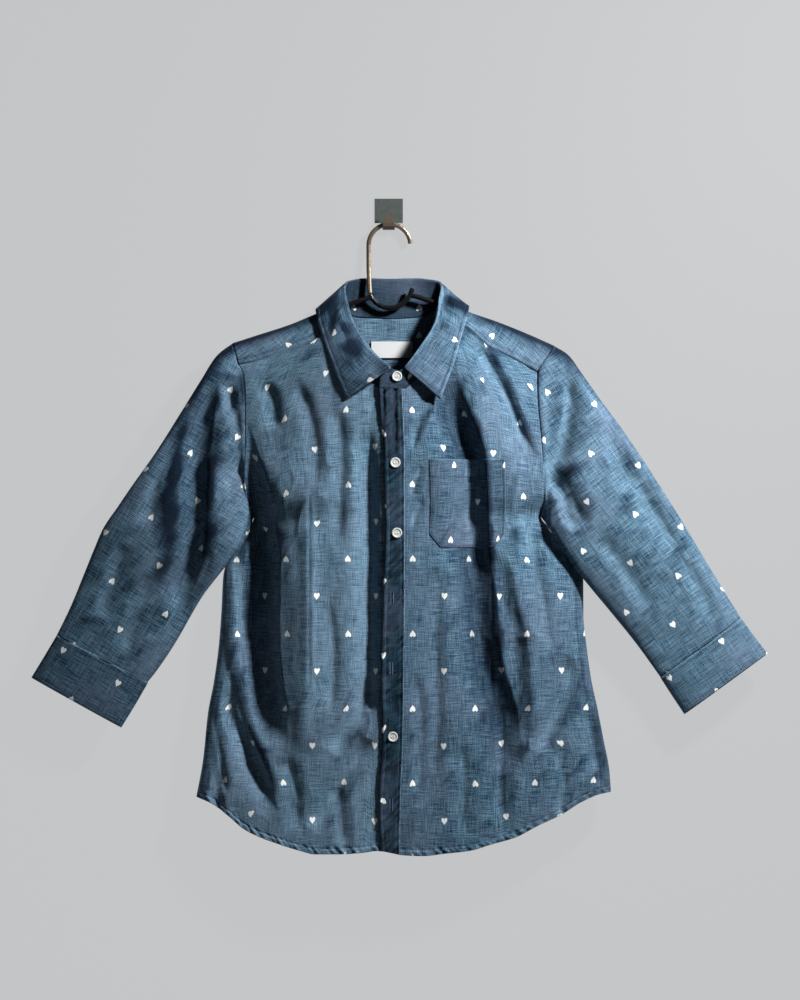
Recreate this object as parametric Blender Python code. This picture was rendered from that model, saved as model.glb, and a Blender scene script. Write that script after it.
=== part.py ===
"""Button-front shirt on a wire hanger that hangs on a small square wall hook.

World frame: the origin is the middle of the hook plate's back face, on the wall. +X runs to the
viewer's right, +Y into the wall and +Z up, so the front of the shirt faces -Y.

The tables are in millimetres and use three plain distances: x to the viewer's right, out from the
wall, and down from the middle of the hook plate. left and right are the viewer's.
"""
import math

import bmesh
import bpy
import numpy as np

MM = 0.001

# Driving dimensions, in millimetres
CLOTH = 1.5                # wall of every sewn piece
SEAM = 0.3                 # room between two pieces at a seam
CORNER_ROOM = 0.6          # how far a piece stops short of a point where three or more meet
LIFT = CLOTH + SEAM        # how far a piece lies above the panel that it is sewn on
TRIM = 1.2                 # wall of the pocket and of the collar leaf
LABEL = 0.8                # wall of the woven label
SIDE_ROLL = 26.0           # width over which a side turns from front to back
SHOULDER_FALL = 85.0       # drop over which a front swings out to its full depth
SEAM_EASE = 24.0           # width beside a side or armhole seam where a fold dies out
CENTRE_X = 4.0             # line of the buttons
RIDGE_OUT = 17.0           # top of the shoulders, over the hanger's arms
RIDGE_HALF = 5.5           # half the width of the rounded shoulder top
RIDGE_DROP = 1.8           # drop from the top to the edge of that rounding
RIDGE_ROW = 3              # the yoke's row that runs along the top of the shoulders
YOKE_BULGE = 1.2           # how far the yoke bows out between its front seam and the ridge
YOKE_HOLLOW = 0.8          # how far it lies in behind the shoulder
NECK_MIDDLE = (4.0, 38.0)  # x and out of the middle of the neck opening
ARM_WIRE = 3.0             # radius of the coated wire
HOOK_WIRE = 2.9            # radius of the plated hook wire
HOOK_RADIUS = 25.2         # bend of the hanger's hook, at the wire's centre
PLATE = 1.5                # wall hook's sheet metal
BUTTON_RADIUS = 6.2
BUTTON_THICK = 2.4
BUTTON_HOLE = 0.55         # radius of a thread hole
BUTTON_HOLE_AT = 1.35      # how far each hole is from the button's middle lines
BUTTON_SIDES = 24


def table(columns, rows):
    """Turn rows into named columns."""
    return dict(zip(columns.split(), np.array(rows, dtype=float).T))


# Rows of the body panels: level, and the share of the neckline's and of the hem's shape in it
ROWS = table("down top hem", [
    (181, 1.00, 0.00), (198, 0.80, 0.00), (227, 0.50, 0.00), (262, 0.20, 0.00), (298, 0.00, 0.00),
    (320, 0.00, 0.00), (343, 0.00, 0.00), (367, 0.00, 0.00), (385, 0.00, 0.00), (404, 0.00, 0.00),
    (440, 0.00, 0.00), (480, 0.00, 0.00), (520, 0.00, 0.00), (560, 0.00, 0.00), (600, 0.00, 0.12),
    (640, 0.00, 0.28), (680, 0.00, 0.47), (715, 0.00, 0.66), (745, 0.00, 0.84), (772, 0.00, 1.00),
])
UNDERARM_ROW = 7
BACK_TOP_ROWS = (262, 298, 330, 350)      # back panel's rows between its yoke seam and the underarm

# Armholes and side seams: the front's edge, from the yoke seam to the hem. roll is how far the
# cloth turns forward, and back, beside the side seam.
LEFT_EDGE = table("down x out roll", [
    (183, -181, 24, 0), (198, -174, 29, 0), (227, -172, 33, 0), (262, -172, 36, 0),
    (298, -172.5, 37, 0), (320, -173, 36, 0), (343, -170, 31, 2), (367, -162, 20, 5),
    (385, -172, 17, 7), (404, -184, 15, 8), (425, -196, 15, 9), (440, -199, 16, 10),
    (480, -201, 18, 12), (520, -204, 19, 13), (565, -210, 20, 13), (602, -217, 21, 13),
    (659, -223, 22, 13), (703, -231, 22, 13),
])
RIGHT_EDGE = table("down x out roll", [
    (192, 178, 25, 0), (207, 178, 29, 0), (232, 179, 33, 0), (264, 182, 36, 0), (298, 185, 37, 0),
    (320, 187, 36, 0), (343, 187, 31, 2), (367, 183, 20, 5), (385, 199, 17, 7), (404, 213, 15, 8),
    (425, 228, 15, 9), (444, 234, 16, 10), (485, 234, 18, 12), (516, 237, 19, 13),
    (560, 243, 20, 13), (598, 251, 21, 13), (634, 258, 22, 13), (671, 265, 22, 13),
    (697, 267, 22, 13),
])
# Back edges of the armholes, from the back yoke seam to the underarm
LEFT_BACK_ARMHOLE = table("down x out roll", [
    (218, -181, 9, 0), (262, -177, 8, 0), (298, -175, 8, 0), (330, -172, 9, 1),
    (350, -168, 12.5, 4), (367, -162, 20, 9),
])
RIGHT_BACK_ARMHOLE = table("down x out roll", [
    (218, 190, 9, 0), (262, 187, 8, 0), (298, 187, 8, 0), (330, 187, 9, 1),
    (350, 186, 12.5, 4), (367, 183, 20, 9),
])

# Front yoke seam and neckline, across each front
LEFT_TOP = table("x down out", [
    (-181, 183, 24), (-159, 179, 26), (-127, 168, 28), (-91, 154, 31), (-62, 143, 33),
    (-43, 183, 56), (-27, 203, 65), (-12, 212, 69.5), (20, 214, 70),
])
RIGHT_TOP = table("x down out", [
    (-12, 213, 70), (20, 214, 70), (34, 202, 66), (48, 186, 59), (60, 163, 48), (69, 128, 31),
    (96, 139, 30), (119, 161, 30), (149, 176, 27), (178, 192, 25),
])
FRONT_HEM = table("x down", [
    (-231, 703), (-212, 711), (-193, 725), (-174, 741), (-154, 751), (-135, 758), (-106, 767),
    (-88, 771), (-60, 771), (-31, 769), (-13, 767), (18, 772), (41, 773), (69, 770), (96, 767),
    (124, 759), (152, 751), (179, 737), (207, 724), (231, 709), (252, 700), (267, 697),
])
BACK_HEM = table("x down", [
    (-231, 703), (-212, 708), (-185, 729), (-150, 749), (-105, 763), (-50, 766), (-13, 764.5),
    (20, 767), (80, 765), (135, 752.5), (185, 730), (225, 709), (250, 699), (267, 697),
])
# Middle of the front and of the back, seen from the side
MIDDLE = table("down front back", [
    (128, 70, 8), (212, 71, 8), (260, 70, 8), (320, 68, 8.5), (400, 65, 9), (500, 61, 9),
    (600, 57, 8), (700, 54, 7.5), (790, 52, 7.5),
])
# Top line of the shoulders
LEFT_RIDGE = table("x down", [(-187, 158), (-159, 149), (-119, 136), (-90, 124), (-60, 111)])
RIGHT_RIDGE = table("x down", [(66, 108), (97, 121), (129, 132), (169, 148), (198, 161)])
BACK_NECK = table("x down out", [
    (-46, 125, 9.5), (-20, 128, 8.5), (5, 128.5, 8.5), (30, 128, 8.5), (51, 122, 9.5),
])
BACK_YOKE_SEAM = table("x down out", [(-181, 218, 9), (-60, 222, 8), (66, 222, 8), (190, 218, 9)])
YOKE_BACK_STEPS = (0.30, 0.64)            # rows between the shoulder top and the back yoke seam

# Columns of the fronts: fixed ones beside the placket, then shares of the way to the side
LEFT_FIXED = (-62, -43, -27)
LEFT_SHARES = (1.0, 0.96, 0.86, 0.68, 0.45, 0.22)
RIGHT_FIXED = (34, 48, 60, 69, 93, 116, 139)
RIGHT_NECK_COLUMN = 4                     # the fixed column where the neckline meets the yoke seam
RIGHT_SHARES = (0.40, 0.75, 0.93, 1.0)

# Placket: its free left edge and the right edge that is sewn to the right front
PLACKET = table("down left right", [
    (212, -12, 17), (299, -6, 20), (386, -4, 20), (467, -7, 20), (548, -9, 19), (630, -8, 18),
    (710, -12, 15), (772, -10, 14),
])
UNDERLAP = 4.0                            # left front ends this far before the placket's seam
UNDERLAP_TUCK = 0.8                       # extra room behind the placket at that edge
UNDERLAP_SLOPE = 20.0                     # width over which the left front dips under the placket

# Largest folds: troughs in the cloth, as runs of x and down, with half-width and depth
LEFT_FOLDS = [
    dict(run=[(-160, 300), (-136, 388), (-126, 500), (-122, 600)], half=18, deep=12),
    dict(run=[(-204, 535), (-180, 600), (-160, 690)], half=15, deep=9),
    dict(run=[(-12, 578), (-52, 650), (-92, 745)], half=17, deep=7),
]
RIGHT_FOLDS = [
    dict(run=[(84, 200), (98, 276), (110, 366), (130, 515), (160, 590)], half=20, deep=11),
    dict(run=[(100, 170), (129, 206), (152, 256), (170, 300)], half=13, deep=6),
    dict(run=[(225, 546), (194, 614)], half=15, deep=6),
]
BACK_FOLDS = [
    dict(run=[(-110, 260), (-122, 450), (-128, 700)], half=20, deep=7),
    dict(run=[(20, 320), (8, 520), (14, 740)], half=22, deep=5),
    dict(run=[(120, 250), (138, 460), (150, 700)], half=20, deep=7),
]
LEFT_SLEEVE_FOLDS = [
    dict(run=[(-215, 195), (-226, 300), (-226, 366), (-236, 436), (-264, 490)], half=16, deep=11),
]
RIGHT_SLEEVE_FOLDS = [
    dict(run=[(219, 206), (215, 246), (205, 290)], half=13, deep=6),
    dict(run=[(190, 316), (215, 342), (236, 384)], half=12, deep=5),
    dict(run=[(287, 305), (316, 355), (348, 408)], half=15, deep=5),
]

LEFT_SIDE = (LEFT_EDGE, LEFT_TOP, LEFT_FOLDS)
RIGHT_SIDE = (RIGHT_EDGE, RIGHT_TOP, RIGHT_FOLDS)

# Sleeves: one row for each ring below the armhole. outer and inner are the two edges of the ring
# in the front view, middle is how far out it lies, half is half its depth, and even says how far
# its points have moved from the armhole's own spacing to an even one.
SLEEVE_COLUMNS = "outer_x outer_down inner_x inner_down middle half even"
LEFT_SLEEVE = table(SLEEVE_COLUMNS, [
    (-205, 172, -165, 376, 23, 13, 0.20), (-226, 204, -168, 387, 27, 13, 0.45),
    (-250, 243, -173, 396, 31, 14, 0.70), (-279, 289, -178, 405, 34, 14, 0.90),
    (-308, 330, -185, 414, 35, 14, 1.00), (-325, 355, -204, 437, 34, 14, 1.00),
    (-342, 380, -223, 462, 32, 14, 1.00), (-354, 407, -238, 487, 30, 14, 1.00),
    (-365, 434, -254, 515, 28, 13.5, 1.00), (-388, 488, -284, 559, 26, 12.5, 1.00),
    (-399, 510, -291, 567, 25, 12, 1.00),
])
RIGHT_SLEEVE = table(SLEEVE_COLUMNS, [
    (216, 173, 185, 370, 23, 13, 0.20), (232, 195, 188, 374, 27, 13, 0.45),
    (253, 225, 190, 377, 31, 14, 0.70), (281, 263, 192, 380, 34, 14, 0.90),
    (310, 306, 195, 384, 35, 14, 1.00), (326, 331, 209, 405, 34, 14, 1.00),
    (342, 356, 224, 429, 32, 14, 1.00), (358, 382, 243, 453, 30, 14, 1.00),
    (374, 409, 263, 477, 28, 13.5, 1.00), (407, 463, 303, 527, 26, 12.5, 1.00),
    (423.4, 489, 327, 560.5, 25, 12, 1.00),
])
LEFT_CUFF = table(SLEEVE_COLUMNS, [
    (-399.5, 511, -290, 568, 25, 12.6, 1), (-414.5, 536, -305, 594, 25, 12.6, 1),
    (-429, 560, -321, 620, 25, 12.6, 1),
])
RIGHT_CUFF = table(SLEEVE_COLUMNS, [
    (424.4, 490.3, 327.5, 562.2, 25, 12.6, 1), (439.5, 511, 341, 583, 25, 12.6, 1),
    (455, 531, 355, 604, 25, 12.6, 1),
])
SLEEVE_HEAD_EASE = 0.11    # how far the first ring stands off the armhole, as a share of a ring
RING_POWER = 0.8           # under 1 makes a ring's cross-section squarer than an ellipse

# Collar: top of the roll, from the left front end round the back to the right front end. The
# stand's top lies in it. Beyond the leaf's ends the stand laps under and over at the button.
ROLL = table("x out down", [
    (2, 69.5, 188), (-21, 62, 166), (-40, 46, 138), (-51, 28, 106), (-51, 12, 84.5),
    (-40, 5.9, 81), (0, 5.3, 80.5), (48, 5.9, 81), (62, 13, 84.5), (61, 28, 106),
    (57, 43, 131), (40, 59, 160), (19, 71.5, 188),
])
# Outer edge of the leaf; along is the share of the way round. Where out is 0 the edge lies on the
# shirt's front.
LEAF_EDGE = table("along x out down", [
    (0.000, -50, 0, 226), (0.093, -61, 0, 201), (0.193, -72, 0, 171), (0.270, -81, 0, 146),
    (0.305, -86, 33, 129), (0.328, -88, 24, 118), (0.348, -88, 11, 117), (0.375, -80, 4.5, 121),
    (0.420, -58, 3, 130), (0.497, 0, 2.8, 133), (0.590, 48, 3, 131), (0.635, 82, 4.5, 119),
    (0.672, 96, 11, 113), (0.694, 97, 24, 114), (0.720, 95, 34, 125), (0.790, 89, 0, 145),
    (0.850, 84, 0, 163),
    (0.902, 79, 0, 181), (1.000, 62, 0, 227),
])
STAND_END_UNDER = (16, 66.3, 193)
STAND_ENDS_OVER = [(4, 70.9, 194.6), (-10, 70.9, 195.2)]
STAND_DROP = 4.6           # stand's top edge below the top of the roll
STAND_IN = 1.0             # and in from it, towards the neck
ROOT_DROP = 2.3            # leaf's sewn edge below the top of the roll
ROOT_IN = 2.2              # and in from it
CREST_IN = 0.4             # leaf's top line in from the roll
CREST_OUT = 2.4            # first line of the leaf's outside, out from the roll
CREST_DROP = 1.8           # and below it
LAP_OUT = 2.0              # how much further out that line lies over the lapped end of the stand
LAP_SHARE = 0.08           # share of the leaf's length over which it does
LEAF_STEPS = (0.30, 0.68)  # lines of the leaf between that one and its outer edge
LEAF_LIFT = 5.2            # leaf's face above the cloth that it lies on
LEAF_BULGE = 4.0           # how far the leaf bows out between roll and edge at the front
BULGE_FROM, BULGE_FULL = 0.18, 0.38    # shares of the way from the back's middle where it does

POCKET_CORNER = (7.0, 8.0) # how far the pocket's lower corners are cut in

# A button's outline from the middle of its face round to its back, as shares of radius and thickness
BUTTON_OUTLINE = [
    (0.62, 0.7), (0.74, 0.95), (0.86, 1.0), (0.96, 0.9), (1.0, 0.6), (0.97, 0.2), (0.85, 0.0),
]
# Buttons down the centre line
BUTTONS = [
    ("button_stand", 10, 199), ("button_1", 8, 302), ("button_2", 10, 386), ("button_5", 5, 630),
]
# Woven label inside the back yoke
LABEL_BOX = dict(left=-21, right=29, top=156, bottom=176)

# Wire hanger: the hook's straight, the coated U and the two arms, as runs of x, out, down
HOOK_TOP_OUT = 5.8
HOOK_CENTRE = (1.0, 40.0)
SHANK = [(-24.2, 6.6, 50), (-24.0, 9.4, 68), (-23.4, 13.6, 86), (-22.7, 16.2, 98.3)]
HOOK_TIP_TURN = math.radians(4)
COATED_U = [
    (-22.5, 16.5, 99.8), (-19.8, 17, 105.2), (-13.5, 17, 111), (-6, 17, 114.8), (1, 17, 116),
    (8, 17, 115.2), (14.5, 17, 112.4), (20.5, 17, 107.6), (25.5, 17, 101), (28.8, 17, 92.5),
]
ARM_DEPTH = 5.7            # wire's centre below the shoulder's top line
ARM_STEP = 16.0            # spacing of an arm's points
ARM_FROM = 60.0            # where those points begin, outside the neck
LEFT_ARM = [(-20.8, 17, 102.8), (-36, 17, 107.7), (-51, 17, 113.2)]
RIGHT_ARM = [(25.6, 17, 100), (38, 17, 103.6), (52, 17, 108.4)]
ARM_REACH = (-176, 187)    # x of the arms' ends inside the shoulders

# Wall hook: its sheet followed from the top of the plate down and up the bent tongue. wide is the
# half-width of the middle strip.
PLATE_HALF = 17.2
PLATE_ROWS = table("out down wide", [
    (1.5, -16.2, 7.4), (1.5, -8, 7.4), (1.5, 0, 7.4), (1.5, 8, 7.4), (1.5, 13.5, 7.4),
    (2.2, 17.4, 7.4), (4.2, 19.8, 7.4), (6.6, 20.3, 7.4), (9.2, 19.4, 7.4), (11.1, 17.0, 7.2),
    (12.0, 13.0, 6.6), (12.4, 8.0, 4.8), (12.7, 3.5, 2.4), (12.9, 0.6, 0.6),
])
PLATE_LAST_ROW = 4         # rows up to this one are the full width of the plate


# Curves and folds

def read(tab, column, key, at):
    """Read one column of a table where its key column has the given values."""
    order = np.argsort(tab[key])
    return np.interp(at, tab[key][order], tab[column][order])


def evenly(points, shares):
    """Points at shares of the length of a run of points."""
    points = np.array(points, dtype=float)
    steps = np.linalg.norm(np.diff(points, axis=0), axis=1)
    reach = np.concatenate([[0.0], np.cumsum(steps)]) / steps.sum()
    return np.stack([np.interp(shares, reach, points[:, axis]) for axis in range(3)], axis=-1)


def shares_along(points):
    """Share of the whole length at each point of a run."""
    steps = np.linalg.norm(np.diff(points, axis=0), axis=1)
    return np.concatenate([[0.0], np.cumsum(steps)]) / steps.sum()


def fold_depth(folds, x, down):
    """How far the folds sink the cloth at a point of the front view."""
    sunk = 0.0
    for fold in folds:
        nearest = math.inf
        for (x0, down0), (x1, down1) in zip(fold["run"], fold["run"][1:]):
            span = np.array([x1 - x0, down1 - down0])
            way = np.array([x - x0, down - down0])
            share = min(max(float(way @ span / (span @ span)), 0.0), 1.0)
            nearest = min(nearest, float(np.linalg.norm(way - share * span)))
        sunk += fold["deep"] * math.exp(-(nearest / fold["half"]) ** 2)
    return sunk


def quarter(share):
    """Height of a quarter round from 0 to 1."""
    return math.sqrt(max(0.0, 1.0 - (1.0 - min(max(share, 0.0), 1.0)) ** 2))


# Body panels

def front_out(x, down, edge, top, folds):
    """How far out the face of a front lies."""
    edge_x = float(read(edge, "x", "down", down))
    from_edge = abs(edge_x - x)
    across = min(from_edge / abs(edge_x - CENTRE_X), 1.0)
    turned = float(read(edge, "out", "down", down))
    turned += float(read(edge, "roll", "down", down)) * quarter(from_edge / SIDE_ROLL)
    middle = float(read(MIDDLE, "front", "down", down))
    out = turned + (middle - turned) * math.sin(0.5 * math.pi * across)
    ease = min(from_edge / SEAM_EASE, 1.0) * quarter((down - read(top, "down", "x", x)) / SEAM_EASE)
    return out - fold_depth(folds, x, down) * ease


def front_face(x, down, edge, top, folds):
    """Face of a front, drawn in to the yoke seam and the neckline at its top."""
    top_down = float(read(top, "down", "x", x))
    short = float(read(top, "out", "x", x)) - front_out(x, top_down, edge, top, folds)
    left_over = 1.0 - quarter((down - top_down) / SHOULDER_FALL)
    return front_out(x, down, edge, top, folds) + short * left_over


def column_downs(place_x, top, hem):
    """The heights of one column's rows, from where it meets the top line and the hem."""
    top_down, hem_down = ROWS["down"][0], ROWS["down"][-1]
    for _ in range(6):
        top_down = float(read(top, "down", "x", place_x(top_down)))
        hem_down = float(read(hem, "down", "x", place_x(hem_down)))
    shift_top = ROWS["top"] * (top_down - ROWS["down"][0])
    shift_hem = ROWS["hem"] * (hem_down - ROWS["down"][-1])
    return ROWS["down"] + shift_top + shift_hem


def left_columns():
    """Left front's columns, from the side to its edge under the placket."""
    columns = []
    for share in LEFT_SHARES:
        columns.append(lambda down, s=share: LEFT_FIXED[0]
                       + s * (float(read(LEFT_EDGE, "x", "down", down)) - LEFT_FIXED[0]))
    columns += [lambda down, x=x: x for x in LEFT_FIXED]
    columns.append(lambda down: float(read(PLACKET, "left", "down", down)))
    columns.append(placket_middle)
    columns.append(lambda down: float(read(PLACKET, "right", "down", down)) - UNDERLAP)
    return columns


def placket_middle(down):
    """x of the line between the placket's two edges."""
    return 0.5 * float(read(PLACKET, "left", "down", down) + read(PLACKET, "right", "down", down))


def right_columns():
    """Right front's columns, from the placket's seam to the side."""
    last = RIGHT_FIXED[-1]
    columns = [lambda down: float(read(PLACKET, "right", "down", down))]
    columns += [lambda down, x=x: x for x in RIGHT_FIXED]
    for share in RIGHT_SHARES:
        columns.append(lambda down, s=share: last
                       + s * (float(read(RIGHT_EDGE, "x", "down", down)) - last))
    return columns


def front_grid(columns, edge, top, folds, tucked):
    """Face of a front as rows and columns of points."""
    grid = np.zeros((len(ROWS["down"]), len(columns), 3))
    for column, place_x in enumerate(columns):
        for row, down in enumerate(column_downs(place_x, top, FRONT_HEM)):
            x = place_x(down)
            dip = min(max((x - LEFT_FIXED[1]) / UNDERLAP_SLOPE, 0.0), 1.0)
            tuck = LIFT * dip if tucked else 0.0
            if tucked and column == len(columns) - 1:
                tuck += UNDERLAP_TUCK
            grid[row, column] = x, front_face(x, down, edge, top, folds) - tuck, down
    return grid


def placket_grid(left_front, right_front):
    """The placket is made from the points of the left front, moved out, and the right's edge."""
    left_edge, middle = left_front[:, -3].copy(), left_front[:, -2].copy()
    left_edge[:, 1] += LIFT
    middle[:, 1] += LIFT
    return np.stack([left_edge, middle, right_front[:, 0]], axis=1)


def pocket_grid(right_front):
    """The pocket is the part of the right front under it, moved out, with cut lower corners."""
    first = 1 + RIGHT_FIXED.index(48)
    last = 1 + RIGHT_FIXED.index(139)
    top = list(ROWS["down"]).index(298)
    bottom = list(ROWS["down"]).index(404)
    grid = right_front[top:bottom + 1, first:last + 1].copy()
    in_x, in_down = POCKET_CORNER
    for column, inward in ((0, 1), (-1, -1)):
        corner, above, beside = grid[-1, column], grid[-2, column], grid[-1, column + inward]
        up_share = in_down / (corner[2] - above[2])
        in_share = in_x / abs(beside[0] - corner[0])
        grid[-1, column] = corner + up_share * (above - corner) + in_share * (beside - corner)
    normals = face_normals(grid, np.ones((grid.shape[0] - 1, grid.shape[1] - 1), bool), False, False)
    return grid + (SEAM + TRIM) * normals


def back_columns():
    """Back panel's columns, from the left side to the right."""
    columns = []
    for share in LEFT_SHARES:
        columns.append(("left", share))
    columns.append(("fixed", LEFT_RIDGE["x"][-1]))
    columns += [("fixed", x) for x in BACK_NECK["x"]]
    columns.append(("fixed", RIGHT_RIDGE["x"][0]))
    columns += [("right", share) for share in yoke_right_shares()]
    return columns


def yoke_right_shares():
    """Shares of the way from the neck to the armhole at the right yoke seam's columns."""
    seam = [place_x(ROWS["down"][0]) for place_x in right_columns()[RIGHT_NECK_COLUMN:]]
    return [(x - seam[0]) / (seam[-1] - seam[0]) for x in seam[1:]]


def back_edge(side, down):
    """Edge of the back panel: the armhole above the underarm, the side seam below it."""
    armhole, seam = ((LEFT_BACK_ARMHOLE, LEFT_EDGE) if side == "left"
                     else (RIGHT_BACK_ARMHOLE, RIGHT_EDGE))
    chosen = armhole if down <= ROWS["down"][UNDERARM_ROW] else seam
    return tuple(float(read(chosen, name, "down", down)) for name in ("x", "out", "roll"))


def back_point(column, down):
    """One point of the back's face."""
    kind, value = column
    left_x, left_out, left_roll = back_edge("left", down)
    right_x, right_out, right_roll = back_edge("right", down)
    left_neck, right_neck = LEFT_RIDGE["x"][-1], RIGHT_RIDGE["x"][0]
    if kind == "left":
        x = left_neck + value * (left_x - left_neck)
    elif kind == "right":
        x = right_neck + value * (right_x - right_neck)
    else:
        x = value
    if x < CENTRE_X:
        edge_x, edge_out, roll = left_x, left_out, left_roll
    else:
        edge_x, edge_out, roll = right_x, right_out, right_roll
    from_edge = abs(edge_x - x)
    across = min(from_edge / abs(edge_x - CENTRE_X), 1.0)
    turned = edge_out - roll * quarter(from_edge / SIDE_ROLL)
    middle = float(read(MIDDLE, "back", "down", down))
    out = turned + (middle - turned) * math.sin(0.5 * math.pi * across)
    below_yoke = down - BACK_YOKE_SEAM["down"].max()
    ease = min(from_edge / SEAM_EASE, 1.0) * quarter(below_yoke / SEAM_EASE)
    return x, out + fold_depth(BACK_FOLDS, x, down) * ease, down


def back_grid(yoke):
    """Face of the back panel, from the yoke's last row to the hem."""
    levels = list(BACK_TOP_ROWS) + list(ROWS["down"][UNDERARM_ROW:])
    hem_shares = [0.0] * len(BACK_TOP_ROWS) + list(ROWS["hem"][UNDERARM_ROW:])
    columns = back_columns()
    grid = np.zeros((1 + len(levels), len(columns), 3))
    grid[0] = yoke[-1]
    for number, column in enumerate(columns):
        hem_down = levels[-1]
        for _ in range(6):
            hem_down = float(read(BACK_HEM, "down", "x", back_point(column, hem_down)[0]))
        for row, (level, share) in enumerate(zip(levels, hem_shares)):
            grid[row + 1, number] = back_point(column, level + share * (hem_down - levels[-1]))
    return grid


# Yoke

def yoke_side(seam, ridge, back_x):
    """One shoulder of the yoke: rows from its front seam over the top to the back yoke seam.

    seam is the front's top row, neck point first, and back_x the back seam's x at each column.
    """
    neck_x, arm_x = ((ridge["x"][-1], ridge["x"][0]) if ridge["x"][0] < CENTRE_X
                     else (ridge["x"][0], ridge["x"][-1]))
    shares = (seam[:, 0] - seam[0, 0]) / (seam[-1, 0] - seam[0, 0])
    rows = np.zeros((RIDGE_ROW + 3 + len(YOKE_BACK_STEPS), len(seam), 3))
    for column, share in enumerate(shares):
        x = neck_x + share * (arm_x - neck_x)
        top = float(read(ridge, "down", "x", x))
        front = np.array([x, RIDGE_OUT + RIDGE_HALF, top + RIDGE_DROP])
        back = np.array([x, RIDGE_OUT - RIDGE_HALF, top + RIDGE_DROP])
        end_x = back_x[column]
        end = np.array([end_x, read(BACK_YOKE_SEAM, "out", "x", end_x),
                        read(BACK_YOKE_SEAM, "down", "x", end_x)])
        between = 0.5 * (seam[column] + front) + np.array([0.0, YOKE_BULGE, 0.0])
        hollow = np.array([0.0, YOKE_HOLLOW, 0.0])
        steps = [back + step * (end - back) - hollow for step in YOKE_BACK_STEPS]
        rows[:, column] = [seam[column], between, front, (x, RIDGE_OUT, top), back, *steps, end]
    return rows


def yoke_grid(left_front, right_front):
    """The whole yoke. Only its back rows exist across the neck."""
    left_seam = left_front[0, :len(LEFT_SHARES) + 1][::-1]
    right_seam = right_front[0, RIGHT_NECK_COLUMN:]
    xs = [back_point(column, float(read(BACK_YOKE_SEAM, "down", "x", 0)))[0]
          for column in back_columns()]
    left_count, right_count = len(left_seam), len(right_seam)
    left = yoke_side(left_seam, LEFT_RIDGE, xs[:left_count][::-1])[:, ::-1]
    right = yoke_side(right_seam, RIGHT_RIDGE, xs[-right_count:])
    middle = np.zeros((left.shape[0], len(BACK_NECK["x"]), 3))
    for column, x in enumerate(BACK_NECK["x"]):
        neck = np.array([x, BACK_NECK["out"][column], BACK_NECK["down"][column]])
        end = np.array([x, read(BACK_YOKE_SEAM, "out", "x", x), read(BACK_YOKE_SEAM, "down", "x", x)])
        steps = [neck + step * (end - neck) for step in YOKE_BACK_STEPS]
        middle[:, column] = [neck] * (RIDGE_ROW + 2) + steps + [end]
    grid = np.concatenate([left, middle, right], axis=1)
    present = np.ones((grid.shape[0] - 1, grid.shape[1] - 1), bool)
    present[:RIDGE_ROW + 1, left_count - 1:left_count + len(BACK_NECK["x"])] = False
    return grid, present


# Sleeves and cuffs

def armhole(front_edge, back_edge_rows, yoke_edge):
    """The armhole's ring of points: shoulder top, down the front, up the back."""
    front_part = front_edge[1:UNDERARM_ROW + 1]
    back_part = back_edge_rows[1:len(BACK_TOP_ROWS) + 1][::-1]
    return np.concatenate([
        yoke_edge[RIDGE_ROW::-1], front_part, back_part, yoke_edge[:RIDGE_ROW:-1],
    ])


def ring_points(section, shares, front_side):
    """One ring of a sleeve from its two edges in the front view and its depth."""
    points = []
    for share, in_front in zip(shares, front_side):
        x = section["outer_x"] + share * (section["inner_x"] - section["outer_x"])
        down = section["outer_down"] + share * (section["inner_down"] - section["outer_down"])
        bow = section["half"] * math.sqrt(max(0.0, 1.0 - (2.0 * share - 1.0) ** 2)) ** RING_POWER
        points.append((x, section["middle"] + (bow if in_front else -bow), down))
    return np.array(points)


def tube(sections, first_ring, folds):
    """Rings of a sleeve or cuff. first_ring gives the armhole, or only the count for a cuff."""
    count = len(first_ring)
    turn = int(np.argmax(first_ring[:, 2]))
    steps = np.arange(count)
    front_side = steps <= turn
    even = np.where(front_side, steps / turn, (count - steps) / (count - turn))
    even = 0.5 - 0.5 * np.cos(np.pi * even)
    top, bottom = first_ring[0, 2], first_ring[turn, 2]
    own = np.clip((first_ring[:, 2] - top) / (bottom - top), 0.0, 1.0)
    rings = []
    for row in range(len(sections["middle"])):
        section = {name: values[row] for name, values in sections.items()}
        shares = own + section["even"] * (even - own)
        ring = ring_points(section, shares, front_side)
        for point, in_front in zip(ring, front_side):
            if in_front:
                near = min(np.hypot(point[0] - section["outer_x"], point[2] - section["outer_down"]),
                           np.hypot(point[0] - section["inner_x"], point[2] - section["inner_down"]))
                point[1] -= fold_depth(folds, point[0], point[2]) * min(near / SEAM_EASE, 1.0)
        rings.append(ring)
    return np.array(rings)


# Collar

def stand_grid(left_front, right_front, placket, yoke):
    """Stand of the collar, from its end under the button round the neck to the end over it."""
    left_neck = left_front[0, len(LEFT_SHARES):][::-1]
    corner = len(LEFT_SHARES)
    other = corner + len(BACK_NECK["x"]) + 1
    behind = RIDGE_ROW + 1
    seam = np.concatenate([
        left_neck,
        yoke[1:behind + 1, corner],
        yoke[behind, corner + 1:other],
        yoke[behind:0:-1, other],
        right_front[0, :RIGHT_NECK_COLUMN + 1][::-1],
        placket[0, 1::-1],
    ])
    along = shares_along(seam[1:-len(STAND_ENDS_OVER)])
    roll = roll_points(along)
    top_edge = np.concatenate([
        [STAND_END_UNDER], roll - STAND_IN * outward_of(roll) + np.array([0.0, 0.0, STAND_DROP]),
        STAND_ENDS_OVER,
    ])
    return np.stack([seam, 0.5 * (seam + top_edge), top_edge]), along


def roll_points(along):
    """Points on the top of the collar's roll."""
    return evenly(np.stack([ROLL["x"], ROLL["out"], ROLL["down"]], axis=-1), along)


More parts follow.
